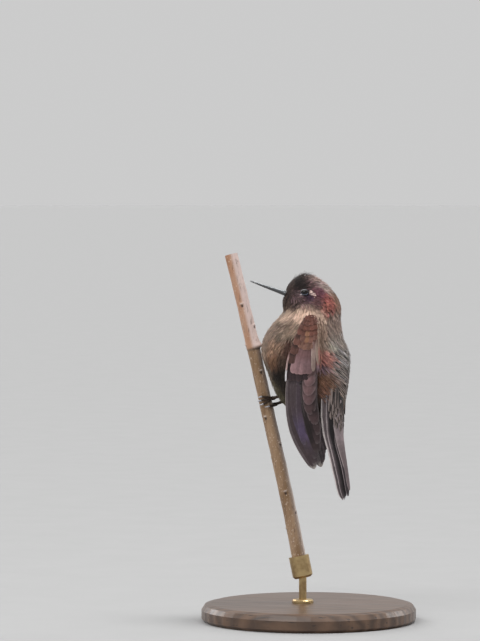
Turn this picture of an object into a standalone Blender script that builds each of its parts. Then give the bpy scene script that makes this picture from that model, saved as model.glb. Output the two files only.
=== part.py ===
"""A small copper-brown Andean hummingbird, life size, clinging upright to a short cut length of
dry stem. A turned base with a short rod and a socket holds the stem.

Frame: metres, +Z up, origin at the centre of the base's underside. The bird's body is symmetric
about the plane y = 0 and faces -X, so its left side is towards -Y. Its head turns to its left.
Stations and sizes below are in millimetres, and MM brings them to metres.
"""

import math

import bmesh
import bpy
from mathutils import Matrix, Vector

MM = 0.001
SHARP_ANGLE = 40.0  # edges between faces that turn more than this are shaded sharp

# Stand
BASE_RADIUS, BASE_HEIGHT, BASE_EDGE, BASE_SEGMENTS = 42.0, 7.0, 1.2, 48
ROD_RADIUS, FLANGE_RADIUS, FLANGE_HEIGHT, FLANGE_EDGE = 1.5, 4.2, 1.4, 0.5
SOCKET_WALL, SOCKET_DEPTH, SOCKET_FLOOR, SOCKET_CHAMFER = 1.1, 7.0, 1.6, 0.8
WELD = 0.001
FLAT_GAP = 0.05  # between faces that rest flat on each other
FIT_GAP = 0.3  # between a piece and the hollow cut for it

# Stem: height, centre X, radius, up the perch
STEM = [
    (18.5, -2.6, 2.75),
    (46.0, -8.5, 2.65),
    (62.0, -11.7, 2.60),
    (78.0, -15.9, 2.55),
    (92.0, -19.2, 2.50),
    (106.0, -22.2, 2.45),
    (125.0, -26.8, 2.40),
    (143.0, -31.4, 2.35),
]
STEM_SEGMENTS, STEM_ROWS = 12, 16
SCAR_HEIGHTS = (28.0, 39.5, 51.0, 63.0, 73.5, 96.0, 113.5, 119.0, 133.0)
SCAR_TURN = 137.5  # degrees from one leaf scar to the next round the stem
SCAR_FIRST = 250.0
SCAR_RADIUS, SCAR_SINK = 1.15, 0.55
STUB_HEIGHT, STUB_ANGLE = 107.6, 100.0  # the broken side shoot beside the breast
STUB_RADIUS, STUB_TAPER, STUB_REACH = 1.7, 0.75, 1.9

# Trunk and neck: height, centre X, half depth along X, half width along Y
TRUNK = [
    (70.5, 11.9, 1.2, 2.0),  # tips of the upper tail coverts
    (73.5, 10.3, 3.3, 3.8),
    (77.5, 7.0, 6.7, 5.4),
    (82.0, 3.6, 10.4, 6.8),
    (86.5, 1.5, 13.3, 8.8),  # vent
    (92.0, 0.6, 15.2, 11.3),
    (98.5, -0.2, 16.7, 12.9),
    (104.5, -1.3, 17.9, 13.4),  # breast, the deepest slice
    (110.0, -2.1, 16.2, 12.9),
    (115.5, -1.1, 14.1, 11.8),  # shoulders
    (120.0, 0.9, 11.7, 9.9),
    (124.5, 1.8, 9.9, 8.4),
    (129.0, 1.8, 6.0, 5.6),  # ends inside the head
]
TRUNK_ROWS, TRUNK_SEGMENTS = 22, 28

# Head, turned by HEAD_YAW about its own centre. Slices from the nape forward: position along the
# head, centre height, half height, half width, all measured from the centre.
HEAD_CENTRE = (0.4, 0.0, 127.5)
HEAD_YAW = 15.0
HEAD = [
    (12.3, -6.4, 1.6, 2.2),
    (11.2, -5.5, 4.3, 4.7),
    (9.0, -4.4, 6.3, 6.5),
    (6.0, -3.0, 7.7, 7.5),
    (2.5, -1.7, 8.9, 7.7),
    (-1.5, -1.0, 9.6, 7.1),
    (-5.0, -1.1, 8.7, 6.0),
    (-7.8, -1.6, 6.9, 4.7),
    (-9.5, -2.3, 4.8, 3.4),
    (-10.7, -3.0, 2.2, 1.8),
]
HEAD_ROWS, HEAD_SEGMENTS = 18, 24
EYE_RADIUS, EYE_PLACE = 2.15, (-1.9, 5.0, 1.2)  # forward, to the side and up from the centre

# Bill, in the head's own frame
BILL_ROOT, BILL_TIP = (-8.2, 0.15), (-23.5, 5.6)
BILL_HALF_HEIGHT, BILL_HALF_WIDTH, BILL_TIP_RADIUS = 1.05, 1.0, 0.42
BILL_TAPER, BILL_ROUNDING = 1.3, 0.6  # how late it narrows, and the size of its last slice
BILL_GAPE = 0.1  # how far apart the two halves lie
SOCKET_GAP = 0.2  # round the bill's root and the eyes
BILL_ROWS, BILL_SEGMENTS = 7, 12

# Wing, folded along the flank: height, leading edge X and distance to the side, trailing edge X
# and distance to the side, thickness
WING = [
    (120.5, 1.3, 9.6, 4.4, 9.5, 0.8),
    (116.5, -0.8, 11.9, 7.6, 11.4, 1.9),
    (110.0, -2.9, 13.7, 8.5, 13.0, 2.4),
    (103.0, -5.1, 14.4, 8.8, 13.9, 2.4),
    (96.7, -6.0, 13.6, 8.0, 12.7, 2.2),
    (88.5, -6.9, 11.8, 6.9, 10.4, 1.9),
    (81.5, -7.1, 10.2, 6.6, 8.6, 1.6),
    (73.3, -6.3, 8.6, 6.8, 7.1, 1.3),
    (66.3, -3.6, 7.1, 6.5, 6.0, 1.0),
    (61.8, -0.4, 6.1, 5.7, 5.4, 0.8),
    (59.2, 3.2, 5.5, 5.0, 5.3, 0.6),
]
WING_ROWS, WING_CHORD_POINTS = 24, 6
WING_EDGE = 0.5  # thickness at the edges
WING_BULGE, WING_BULGE_CHORD = 0.9, 8.0  # bow of a section's middle, and the chord that has it all
WING_FULLNESS = 0.6  # how soon a section reaches its thickness from its edges; 1 is slower
COVERT_EDGE = ((-10.0, 98.7), (10.0, 96.3))  # where the coverts end, (x, z)
INNER_QUILLS = ((-1.2, 97.5), (3.4, 62.0))  # where the primaries meet the secondaries, (x, z)
FEATHER_CUT = 0.3

# Tail, folded like a roof: the ridge runs between these (x, z) points
TAIL_ROOT, TAIL_END = (10.4, 86.5), (15.3, 51.0)
TAIL_SLOPE = 50.0  # of each side below level, across the ridge
TAIL_SIDE = [(0.0, 5.0), (0.3, 7.2), (0.55, 6.5), (0.8, 5.3), (0.93, 3.9), (1.0, 2.2)]
MIDDLE_PAIR = [(0.0, 2.0), (0.3, 2.8), (0.6, 2.7), (0.85, 2.3), (0.95, 1.6), (1.0, 0.8)]
TAIL_ROWS, TAIL_THICKNESS = 12, 0.7
TAIL_FORK = 3.4  # how far the outer feathers pass the middle pair
RIDGE_GAP = 0.45  # from the ridge to each side's inner edge
MIDDLE_PAIR_RISE = 1.25  # of the middle pair over the ridge
MIDDLE_PAIR_DROOP = 0.86  # of its slope over that of the sides

# Legs and feet: the shank runs from the belly to the palm, which lies on the stem
ANKLE, ANKLE_SHARE = (-6.5, 4.4, 88.6), 0.8  # how much of a foot's drop its ankle follows
SHANK_RADIUS, SHANK_BEND, PAD_RADIUS, PAD_SINK = 0.62, 0.25, 0.8, 0.82
SHANK_SHAPE = (1.0, 0.9, 1.0, 1.35)  # its thickness from the foot to the ankle
TOE_RADIUS, TOE_ROOT_RADIUS, CLAW_RADIUS, CLAW_TIP = 0.43, 0.55, 0.36, 0.25
FEET = {
    # side: (-1 is the bird's left), palm height, palm angle round the stem
    "left": (-1, 86.3, 8.0),
    "right": (1, 83.8, 24.0),
}
FRONT_TOES = ((1.5, 84.0), (0.1, 96.0), (-1.4, 86.0))  # climb along the stem, turn round it
HIND_TOE = (-0.2, 78.0)
CLAW_TURN, CLAW_HEIGHT = 34.0, 0.75
TOE_POINTS, CLAW_POINTS = 6, 4

NECK_CUT = ((-10.7, 121.6), (12.6, 117.2))  # chin to nape, (x, z)
TRUNK_CUT = ((-14.5, 115.6), (13.5, 110.6))  # breast to back


def clear_scene():
    for obj in list(bpy.data.objects):
        bpy.data.objects.remove(obj)


def collection(name):
    made = bpy.data.collections.new(name)
    bpy.context.scene.collection.children.link(made)
    return made


def material(name, colour, roughness, metallic=0.0):
    made = bpy.data.materials.new(name)
    made.use_nodes = True
    shader = made.node_tree.nodes["Principled BSDF"]
    shader.inputs["Base Color"].default_value = (*colour, 1.0)
    shader.inputs["Roughness"].default_value = roughness
    shader.inputs["Metallic"].default_value = metallic
    return made


def catmull_rom(a, b, c, d, t):
    square = 2 * a - 5 * b + 4 * c - d
    cube = 3 * b - a - 3 * c + d
    return 0.5 * (2 * b + (c - a) * t + square * t**2 + cube * t**3)


def along(stations, rows):
    """Smooth in-between stations at even steps of the station number."""
    last = len(stations) - 1
    made = []
    for row in range(rows):
        at = last * row / (rows - 1)
        i = min(int(at), last - 1)
        t = at - i
        near = [stations[min(max(i + k, 0), last)] for k in (-1, 0, 1, 2)]
        made.append(tuple(catmull_rom(*values, t) for values in zip(*near)))
    return made


def loft(rings):
    """A closed mesh through rings of equally many points, in millimetres, with flat ends."""
    mesh = bmesh.new()
    rows = [[mesh.verts.new(Vector(p) * MM) for p in ring] for ring in rings]
    for low, high in zip(rows, rows[1:]):
        for i in range(len(low)):
            j = (i + 1) % len(low)
            mesh.faces.new((low[i], low[j], high[j], high[i]))
    mesh.faces.new(reversed(rows[0]))
    mesh.faces.new(rows[-1])
    bmesh.ops.recalc_face_normals(mesh, faces=mesh.faces)
    return mesh


def ellipse(half_a, half_b, segments):
    for i in range(segments):
        turn = math.tau * i / segments
        yield half_a * math.cos(turn), half_b * math.sin(turn)


def as_object(name, mesh, where, look=None):
    data = bpy.data.meshes.new(name)
    mesh.to_mesh(data)
    mesh.free()
    obj = bpy.data.objects.new(name, data)
    where.objects.link(obj)
    if look:
        data.materials.append(look)
    data.shade_smooth()
    data.set_sharp_from_angle(angle=math.radians(SHARP_ANGLE))
    return obj


def settle(obj):
    """Makes the evaluated shape the object's own mesh, and a curve a welded mesh."""
    bpy.context.view_layer.update()
    graph = bpy.context.evaluated_depsgraph_get()
    data = bpy.data.meshes.new_from_object(obj.evaluated_get(graph))
    if obj.type == "MESH":
        obj.modifiers.clear()
        obj.data = data
        return obj
    mesh = bmesh.new()
    mesh.from_mesh(data)
    bmesh.ops.remove_doubles(mesh, verts=mesh.verts, dist=WELD * MM)
    bmesh.ops.recalc_face_normals(mesh, faces=mesh.faces)
    made = as_object(obj.name + "_mesh", mesh, obj.users_collection[0])
    made.matrix_world = obj.matrix_world
    name = obj.name
    bpy.data.objects.remove(obj)
    made.name = name
    return made


def boolean(target, other, operation):
    """Cuts or joins, and removes the other object."""
    modifier = target.modifiers.new(operation.title(), "BOOLEAN")
    modifier.operation = operation
    modifier.object = other
    settle(target)
    bpy.data.objects.remove(other)
    return target


def tube(name, points, radii, where, look=None, sides=2):
    """A round rod through points in millimetres, with its own radius at each."""
    data = bpy.data.curves.new(name, "CURVE")
    data.dimensions = "3D"
    data.bevel_depth = MM
    data.bevel_resolution = sides
    data.use_fill_caps = True
    spline = data.splines.new("POLY")
    spline.points.add(len(points) - 1)
    for point, place, radius in zip(spline.points, points, radii):
        point.co = (*(Vector(place) * MM), 1.0)
        point.radius = radius
    obj = bpy.data.objects.new(name, data)
    where.objects.link(obj)
    obj = settle(obj)
    if look:
        obj.data.materials.append(look)
    return obj


def ball(name, centre, radius, where, look=None, segments=16, rings=10):
    mesh = bmesh.new()
    bmesh.ops.create_uvsphere(mesh, u_segments=segments, v_segments=rings, radius=radius * MM)
    mesh.transform(Matrix.Translation(Vector(centre) * MM))
    return as_object(name, mesh, where, look)


def cut_by_plane(mesh, place, normal, keep_above):
    """Cuts a mesh by a plane and closes it, keeping the side that the normal points to, or the other."""
    found = bmesh.ops.bisect_plane(
        mesh,
        geom=mesh.verts[:] + mesh.edges[:] + mesh.faces[:],
        plane_co=Vector(place) * MM,
        plane_no=normal,
        clear_outer=not keep_above,
        clear_inner=keep_above,
    )
    edges = [e for e in found["geom_cut"] if isinstance(e, bmesh.types.BMEdge)]
    bmesh.ops.holes_fill(mesh, edges=edges)
    bmesh.ops.recalc_face_normals(mesh, faces=mesh.faces)


def section(source, name, where, look, cuts, gap):
    """A copy of source between planes: (point on the plane, normal, which side is kept)."""
    mesh = bmesh.new()
    mesh.from_mesh(source.data)
    for place, normal, keep_above in cuts:
        normal = Vector(normal).normalized()
        shift = normal * (gap / 2 if keep_above else -gap / 2)
        cut_by_plane(mesh, Vector(place) + shift, normal, keep_above)
    return as_object(name, mesh, where, look)


def plane_through(line):
    """A point and an upward normal of the plane that holds this (x, z) line and the Y direction."""
    (x0, z0), (x1, z1) = line
    return (x0, 0.0, z0), Vector((z0 - z1, 0.0, x1 - x0)).normalized()


# Stem

def stem_at(height):
    """Centre and radius of the stem at a height."""
    rows = along(STEM, 80)
    below, above = next(
        ((a, b) for a, b in zip(rows, rows[1:]) if a[0] <= height <= b[0]), (rows[-2], rows[-1])
    )
    t = (height - below[0]) / (above[0] - below[0])
    low, high = Vector(below), Vector(above)
    here = low.lerp(high, t)
    direction = Vector((high[1] - low[1], 0.0, high[0] - low[0])).normalized()
    return Vector((here[1], 0.0, here[0])), here[2], direction


def round_the_stem(height, angle, distance):
    """The point this far from the stem's axis, at an angle from its +X side towards -Y."""
    centre, _, direction = stem_at(height)
    across = Vector((direction.z, 0.0, -direction.x))
    turn = math.radians(angle)
    return centre + distance * (math.cos(turn) * across - math.sin(turn) * Vector((0, 1, 0)))


def make_stem(where, look, grow=0.0):
    rows = along(STEM, STEM_ROWS)
    stem = tube(
        "perch_stem",
        [(x, 0.0, z) for z, x, _ in rows],
        [radius + grow for _, _, radius in rows],
        where,
        look,
        sides=(STEM_SEGMENTS - 4) // 2,
    )
    for number, height in enumerate(SCAR_HEIGHTS):
        _, radius, _ = stem_at(height)
        place = round_the_stem(height, SCAR_FIRST + SCAR_TURN * number, radius - SCAR_SINK)
        scar = ball("scar", place, SCAR_RADIUS + grow, where, segments=10, rings=6)
        boolean(stem, scar, "UNION")
    _, radius, _ = stem_at(STUB_HEIGHT)
    root, tip = (round_the_stem(STUB_HEIGHT, STUB_ANGLE, d) for d in (0.0, radius + STUB_REACH))
    stub = tube("stub", (root, tip), (STUB_RADIUS + grow, STUB_TAPER * STUB_RADIUS + grow), where)
    return boolean(stem, stub, "UNION")


# Stand

def turned(name, outline, where, look=None, segments=24):
    """A lathe shape about Z. The outline is (radius, height) points down its outer side."""
    mesh = bmesh.new()
    points = [mesh.verts.new((radius * MM, 0.0, height * MM)) for radius, height in outline]
    for a, b in zip(points, points[1:]):
        mesh.edges.new((a, b))
    obj = as_object(name, mesh, where, look)
    screw = obj.modifiers.new("Turn", "SCREW")
    screw.steps = screw.render_steps = segments
    screw.use_merge_vertices = True
    screw.merge_threshold = 0.00001
    return settle(obj)


def make_stand(where, wood, metal):
    edge = BASE_EDGE
    turned(
        "stand_base",
        [
            (0.0, BASE_HEIGHT),
            (BASE_RADIUS - 3 * edge, BASE_HEIGHT),
            (BASE_RADIUS - edge, BASE_HEIGHT - 0.5 * edge),
            (BASE_RADIUS, BASE_HEIGHT - 2 * edge),
            (BASE_RADIUS, edge),
            (BASE_RADIUS - edge, 0.0),
            (0.0, 0.0),
        ],
        where,
        wood,
        segments=BASE_SEGMENTS,
    )
    foot, radius, direction = stem_at(STEM[0][0])
    inner = radius + FLAT_GAP * 2
    outer = inner + SOCKET_WALL
    bottom = -SOCKET_FLOOR - FLAT_GAP
    socket = turned(
        "socket",
        [
            (0.0, -FLAT_GAP),
            (inner, -FLAT_GAP),
            (inner, SOCKET_DEPTH),
            (outer, SOCKET_DEPTH),
            (outer, bottom + SOCKET_CHAMFER),
            (outer - SOCKET_CHAMFER, bottom),
            (0.0, bottom),
        ],
        where,
        metal,
    )
    tilt = Vector((0, 0, 1)).rotation_difference(direction).to_matrix().to_4x4()
    socket.data.transform(Matrix.Translation(foot * MM) @ tilt)
    top = foot + direction * (bottom + 0.5 * SOCKET_FLOOR)
    low = BASE_HEIGHT + FLAT_GAP
    rod = turned(
        "stand_rod",
        [
            (0.0, top.z),
            (ROD_RADIUS, top.z),
            (ROD_RADIUS, low + FLANGE_HEIGHT),
            (FLANGE_RADIUS - FLANGE_EDGE, low + FLANGE_HEIGHT),
            (FLANGE_RADIUS, low + FLANGE_HEIGHT - FLANGE_EDGE),
            (FLANGE_RADIUS, low),
            (0.0, low),
        ],
        where,
        metal,
    )
    rod.data.transform(Matrix.Translation(Vector((top.x, 0.0, 0.0)) * MM))
    boolean(rod, socket, "UNION")


# Body

def trunk_loft():
    return loft(
        [
            [(x + a, b, z) for a, b in ellipse(depth, width, TRUNK_SEGMENTS)]
            for z, x, depth, width in along(TRUNK, TRUNK_ROWS)
        ]
    )


def head_frame():
    """From the head's own frame, where it faces -X, to the row frame."""
    return Matrix.Translation(Vector(HEAD_CENTRE) * MM) @ Matrix.Rotation(
        math.radians(HEAD_YAW), 4, "Z"
    )


def head_loft():
    mesh = loft(
        [
            [(x, a, z + b) for a, b in ellipse(width, height, HEAD_SEGMENTS)]
            for x, z, height, width in along(HEAD, HEAD_ROWS)
        ]
    )
    mesh.transform(head_frame())
    return mesh


def in_head(place):
    return head_frame() @ (Vector(place) * MM) / MM


def bill_loft(grow=0.0):
    (x0, z0), (x1, z1) = BILL_ROOT, BILL_TIP
    rings = []
    for row in range(BILL_ROWS):
        t = row / (BILL_ROWS - 1)
        taper = 1 - t**BILL_TAPER
        high = BILL_TIP_RADIUS + (BILL_HALF_HEIGHT - BILL_TIP_RADIUS) * taper + grow
        wide = BILL_TIP_RADIUS + (BILL_HALF_WIDTH - BILL_TIP_RADIUS) * taper + grow
        if row == BILL_ROWS - 1:
            high, wide = BILL_ROUNDING * high, BILL_ROUNDING * wide
        x, z = x0 + (x1 - x0) * t, z0 + (z1 - z0) * t
        rings.append([(x, a, z + b) for a, b in ellipse(wide, high, BILL_SEGMENTS)])
    return loft(rings)


def make_bill(where, look):
    whole = as_object("bill_whole", bill_loft(), where)
    place, normal = plane_through((BILL_TIP, BILL_ROOT))
    for name, above in (("bill_upper", True), ("bill_lower", False)):
        half = section(whole, name, where, look, [(place, normal, above)], BILL_GAPE)
        half.data.transform(head_frame())
    bpy.data.objects.remove(whole)


def make_eyes(where, look):
    for name, side in (("eye_left", -1), ("eye_right", 1)):
        forward, out, up = EYE_PLACE
        ball(name, in_head((forward, side * out, up)), EYE_RADIUS, where, look)


def wing_loft(side, grow=0.0):
    """A folded wing: sections are thin lenses between the leading and the trailing edge."""
    rings = []
    ends = {0: grow, WING_ROWS - 1: -grow}
    for row, station in enumerate(along(WING, WING_ROWS)):
        z, lead_x, lead_y, trail_x, trail_y, thickness = station
        z += ends.get(row, 0.0)
        lead, trail = Vector((lead_x, lead_y, z)), Vector((trail_x, trail_y, z))
        chord = trail - lead
        out = Vector((-chord.y, chord.x, 0.0)).normalized()
        bulge = WING_BULGE * min(1.0, chord.length / WING_BULGE_CHORD)
        lead, trail = lead - chord.normalized() * grow, trail + chord.normalized() * grow
        outer, inner = [], []
        for i in range(WING_CHORD_POINTS):
            t = i / (WING_CHORD_POINTS - 1)
            lens = math.sin(math.pi * t)
            half = 0.5 * (WING_EDGE + (thickness - WING_EDGE) * lens**WING_FULLNESS) + grow
            middle = lead.lerp(trail, t) + out * bulge * lens
            outer.append(middle + out * half)
            inner.append(middle - out * half)
        ring = outer + inner[::-1]
        rings.append([(p.x, side * p.y, p.z) for p in ring])
    return loft(rings)


def make_wing(side, label, where, covert, quill):
    whole = as_object("wing_whole", wing_loft(side), where)
    edge, up = plane_through(COVERT_EDGE)
    seam, behind = plane_through(INNER_QUILLS)
    pieces = (
        ("coverts", covert, [(edge, up, True)]),
        ("primaries", quill, [(edge, up, False), (seam, behind, False)]),
        ("secondaries", quill, [(edge, up, False), (seam, behind, True)]),
    )
    for name, look, cuts in pieces:
        section(whole, f"wing_{label}_{name}", where, look, cuts, FEATHER_CUT)
    bpy.data.objects.remove(whole)


def make_tail(where, look, grow=0.0):
    """Two sloping sides with the outer feathers the longest, and the middle pair over the ridge."""
    root, end = Vector((TAIL_ROOT[0], 0, TAIL_ROOT[1])), Vector((TAIL_END[0], 0, TAIL_END[1]))
    down = (end - root).normalized()
    length = (end - root).length
    behind = Vector((-down.z, 0.0, down.x)).normalized()  # away from the back
    made = []
    slope = math.radians(TAIL_SLOPE)
    half = TAIL_THICKNESS / 2 + grow
    ends = {0: -grow, TAIL_ROWS - 1: grow}
    for label, side in (("left", -1), ("right", 1)):
        across = Vector((0, side * math.cos(slope), 0)) - behind * math.sin(slope)
        normal = Vector((0, side * math.sin(slope), 0)) + behind * math.cos(slope)
        rings = []
        for row, (t, wide) in enumerate(along(TAIL_SIDE, TAIL_ROWS)):
            edges = ((RIDGE_GAP - grow, 0.0), ((RIDGE_GAP + wide) / 2, 0.5), (wide + grow, 1.0))
            ring = []
            for start, reach in edges:
                far = (length + TAIL_FORK * reach) * t + ends.get(row, 0.0)
                ring.append(root + down * far + across * start)
            rings.append([p + normal * half for p in ring] + [p - normal * half for p in ring[::-1]])
        made.append(as_object(f"tail_{label}", loft(rings), where, look))
    rings = []
    for row, (t, wide) in enumerate(along(MIDDLE_PAIR, TAIL_ROWS)):
        ring = []
        for reach in (-1.0, -0.5, 0.0, 0.5, 1.0):
            fall = abs(reach) * wide * math.tan(slope) * MIDDLE_PAIR_DROOP
            over = Vector((0, reach * (wide + grow), 0)) + behind * (MIDDLE_PAIR_RISE - fall)
            ring.append(root + down * (length * t + ends.get(row, 0.0)) + over)
        rings.append([p + behind * half for p in ring] + [p - behind * half for p in ring[::-1]])
    made.append(as_object("tail_middle", loft(rings), where, look))
    return made


# Legs

def toe(name, side, height, palm, climb, turn, where, look):
    """A toe round the stem, with its claw arched at the end."""
    rows, radii = [], []
    for i in range(TOE_POINTS):
        t = i / (TOE_POINTS - 1)
        level = height + climb * t
        thick = TOE_ROOT_RADIUS + (TOE_RADIUS - TOE_ROOT_RADIUS) * t
        distance = stem_at(level)[1] + FIT_GAP + thick
        rows.append(round_the_stem(level, -side * (palm + turn * t), distance))
        radii.append(thick)
    level, last = height + climb, palm + turn
    for i in range(1, CLAW_POINTS + 1):
        t = i / CLAW_POINTS
        thick = CLAW_RADIUS + (CLAW_TIP - CLAW_RADIUS) * t
        distance = stem_at(level)[1] + FIT_GAP + thick + math.sin(math.pi * t) * CLAW_HEIGHT
        angle = last + math.copysign(CLAW_TURN, turn) * t
        rows.append(round_the_stem(level, -side * angle, distance))
        radii.append(thick)
    return tube(name, rows, radii, where, look, sides=1)


def foot_pad(label):
    """Where the palm lies against the stem."""
    side, height, palm = FEET[label]
    _, radius, _ = stem_at(height)
    return round_the_stem(height, -side * palm, radius + FIT_GAP + PAD_SINK * PAD_RADIUS)


def make_shank(label, where, look=None, grow=0.0):
    side, height, _ = FEET[label]
    pad = foot_pad(label)
    ankle = Vector((ANKLE[0], side * ANKLE[1], ANKLE[2] + ANKLE_SHARE * (height - FEET["left"][1])))
    along_leg = (ankle - pad).normalized()
    foot_end = pad + along_leg * (PAD_RADIUS + FIT_GAP)
    bend = pad.lerp(ankle, 0.4) + Vector((0.0, 0.0, SHANK_BEND))
    points = [foot_end, bend, pad.lerp(ankle, 0.7), ankle + along_leg * grow]
    radii = [SHANK_RADIUS * share + grow for share in SHANK_SHAPE]
    return tube(f"shank_{label}", points, radii, where, look)


def make_foot(label, where, look):
    side, height, palm = FEET[label]
    pad = foot_pad(label)
    foot = ball(f"foot_{label}", pad, PAD_RADIUS, where, look, segments=12, rings=8)
    for number, (climb, turn) in enumerate(FRONT_TOES):
        boolean(foot, toe(f"toe_{number}", side, height, palm, climb, turn, where, look), "UNION")
    climb, turn = HIND_TOE
    boolean(foot, toe("hind_toe", side, height, palm, climb, -turn, where, look), "UNION")
    return foot


def make_body(where, face, plumage):
    """Head, neck and trunk: one shape, parted by thin cuts."""
    whole = as_object("body_whole", trunk_loft(), where)
    boolean(whole, as_object("head_whole", head_loft(), where), "UNION")
    chin, chin_up = plane_through(NECK_CUT)
    breast, breast_up = plane_through(TRUNK_CUT)
    pieces = (
        ("head", face, [(chin, chin_up, True)]),
        ("neck", plumage, [(chin, chin_up, False), (breast, breast_up, True)]),
        ("trunk", plumage, [(breast, breast_up, False)]),
    )
    made = [section(whole, name, where, look, cuts, FIT_GAP) for name, look, cuts in pieces]
    bpy.data.objects.remove(whole)
    return made


def clear_space(head, neck, trunk, helpers):
    """Hollows in the body for the bill, eyes, wings, tail and shanks, and room for the stem."""
    bill_space = bill_loft(grow=SOCKET_GAP)
    bill_space.transform(head_frame())
    boolean(head, as_object("bill_space", bill_space, helpers), "DIFFERENCE")
    forward, out, up = EYE_PLACE
    for side in (-1, 1):
        place = in_head((forward, side * out, up))
        boolean(head, ball("eye_space", place, EYE_RADIUS + SOCKET_GAP, helpers), "DIFFERENCE")
        for piece in (trunk, neck, head):
            space = as_object("wing_space", wing_loft(side, grow=FIT_GAP), helpers)
            boolean(piece, space, "DIFFERENCE")
    for space in make_tail(helpers, None, grow=FIT_GAP):
        boolean(trunk, space, "DIFFERENCE")
    boolean(trunk, make_stem(helpers, None, grow=FIT_GAP), "DIFFERENCE")
    for label in FEET:
        boolean(trunk, make_shank(label, helpers, grow=FIT_GAP), "DIFFERENCE")


def main():
    clear_scene()
    parts = collection("Hummingbird")
    helpers = collection("Cutters")
    wood = material("stained_wood", (0.045, 0.026, 0.016), 0.45)
    metal = material("dull_brass", (0.42, 0.31, 0.16), 0.35, 1.0)
    bark = material("dry_stem", (0.23, 0.16, 0.10), 0.85)
    plumage = material("body_plumage", (0.20, 0.12, 0.09), 0.7)
    face = material("face_plumage", (0.06, 0.035, 0.032), 0.65)
    covert = material("wing_coverts", (0.15, 0.07, 0.055), 0.55)
    quill = material("flight_feathers", (0.075, 0.055, 0.062), 0.5)
    horn = material("bill_horn", (0.012, 0.012, 0.014), 0.3)
    eye = material("eye", (0.006, 0.005, 0.006), 0.05)
    skin = material("leg_skin", (0.05, 0.035, 0.03), 0.5)

    make_stand(parts, wood, metal)
    make_stem(parts, bark)
    make_bill(parts, horn)
    make_eyes(parts, eye)
    for label, (side, _, _) in FEET.items():
        make_wing(side, label, parts, covert, quill)
        make_shank(label, parts, skin)
        make_foot(label, parts, skin)
    make_tail(parts, quill)
    head, neck, trunk = make_body(parts, face, plumage)
    clear_space(head, neck, trunk, helpers)


main()
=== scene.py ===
import math

import bmesh
import bpy
import numpy as np
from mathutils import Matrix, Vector
from mathutils.bvhtree import BVHTree
from mathutils.kdtree import KDTree


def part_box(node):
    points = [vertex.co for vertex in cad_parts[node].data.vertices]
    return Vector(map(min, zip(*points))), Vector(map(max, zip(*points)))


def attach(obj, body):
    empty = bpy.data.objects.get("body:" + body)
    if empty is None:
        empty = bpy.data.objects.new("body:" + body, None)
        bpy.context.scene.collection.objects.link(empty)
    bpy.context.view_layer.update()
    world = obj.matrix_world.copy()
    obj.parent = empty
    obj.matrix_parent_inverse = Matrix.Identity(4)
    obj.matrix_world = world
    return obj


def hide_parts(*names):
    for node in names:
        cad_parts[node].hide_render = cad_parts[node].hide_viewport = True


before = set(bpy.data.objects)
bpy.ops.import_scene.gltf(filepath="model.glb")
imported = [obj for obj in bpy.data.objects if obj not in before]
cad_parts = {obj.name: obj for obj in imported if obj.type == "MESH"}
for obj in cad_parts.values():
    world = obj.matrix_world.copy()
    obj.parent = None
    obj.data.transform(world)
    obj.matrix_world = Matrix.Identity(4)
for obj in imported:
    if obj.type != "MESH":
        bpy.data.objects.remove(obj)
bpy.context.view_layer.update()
mm = 0.001
chance = np.random.default_rng(7)
sides = {"left": -1, "right": 1}  # the bird faces -X, so its left is towards -Y


# Numbers and places

def unit(vectors):
    return vectors / np.maximum(np.linalg.norm(vectors, axis=-1, keepdims=True), 1e-12)


def ease(low, high, value):
    t = np.clip((value - low) / (high - low), 0.0, 1.0)
    return t * t * (3 - 2 * t)


def blend(first, second, share):
    return first * (1 - share) + np.asarray(second) * share


def sampled(values, at):
    # each row's values at places between its own, such as 2.5
    i = np.minimum(at.astype(int), values.shape[1] - 2)
    share = (at - i)[:, :, None]
    rows = np.arange(len(values))[:, None]
    return blend(values[rows, i], values[rows, i + 1], share)


def foldSides(points):
    # both sides as one, with the distance to the side for Y
    return points * np.array((1.0, 0.0, 1.0)) + np.abs(points) * np.array((0.0, 1.0, 0.0))


def nodeFaces(*names):
    points, faces = [], []
    for name in names:
        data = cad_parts[name].data
        start = len(points)
        points += [v.co.copy() for v in data.vertices]
        faces += [[start + i for i in face.vertices] for face in data.polygons]
    return points, faces


def middle(name):
    low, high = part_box(name)
    return np.array((low + high) / 2) / mm


up = np.array((0.0, 0.0, 1.0))
eyeBehind, eyeAbove = 1.9, 1.2  # from the head's centre forward to the eyes, and up
headSide = unit(middle("eye_right") - middle("eye_left"))
headBack = np.cross(headSide, up)
headCentre = (middle("eye_right") + middle("eye_left")) / 2 + headBack * eyeBehind - up * eyeAbove
headAxes = np.array((headBack, headSide, up))


def toHead(points):
    return (points - headCentre) @ headAxes.T


def fromHead(points):
    return np.asarray(points) @ headAxes + headCentre


# Meshes

def newObject(name, data):
    obj = bpy.data.objects.new(name, data)
    bpy.context.scene.collection.objects.link(obj)
    return obj


def addLook(data, look, **layers):
    data.materials.append(look)
    for name, values in layers.items():
        values = np.asarray(values, np.float32)
        if values.shape[1] == 2:
            layer = data.uv_layers.new(name=name)
            corners = np.zeros(len(data.loops), np.int32)
            data.loops.foreach_get("vertex_index", corners)
            layer.data.foreach_set("uv", values[corners].ravel())
            continue
        if values.shape[1] == 3:
            values = np.hstack((values, np.ones((len(values), 1), np.float32)))
        data.attributes.new(name, "FLOAT_COLOR", "POINT").data.foreach_set("color", values.ravel())


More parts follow.
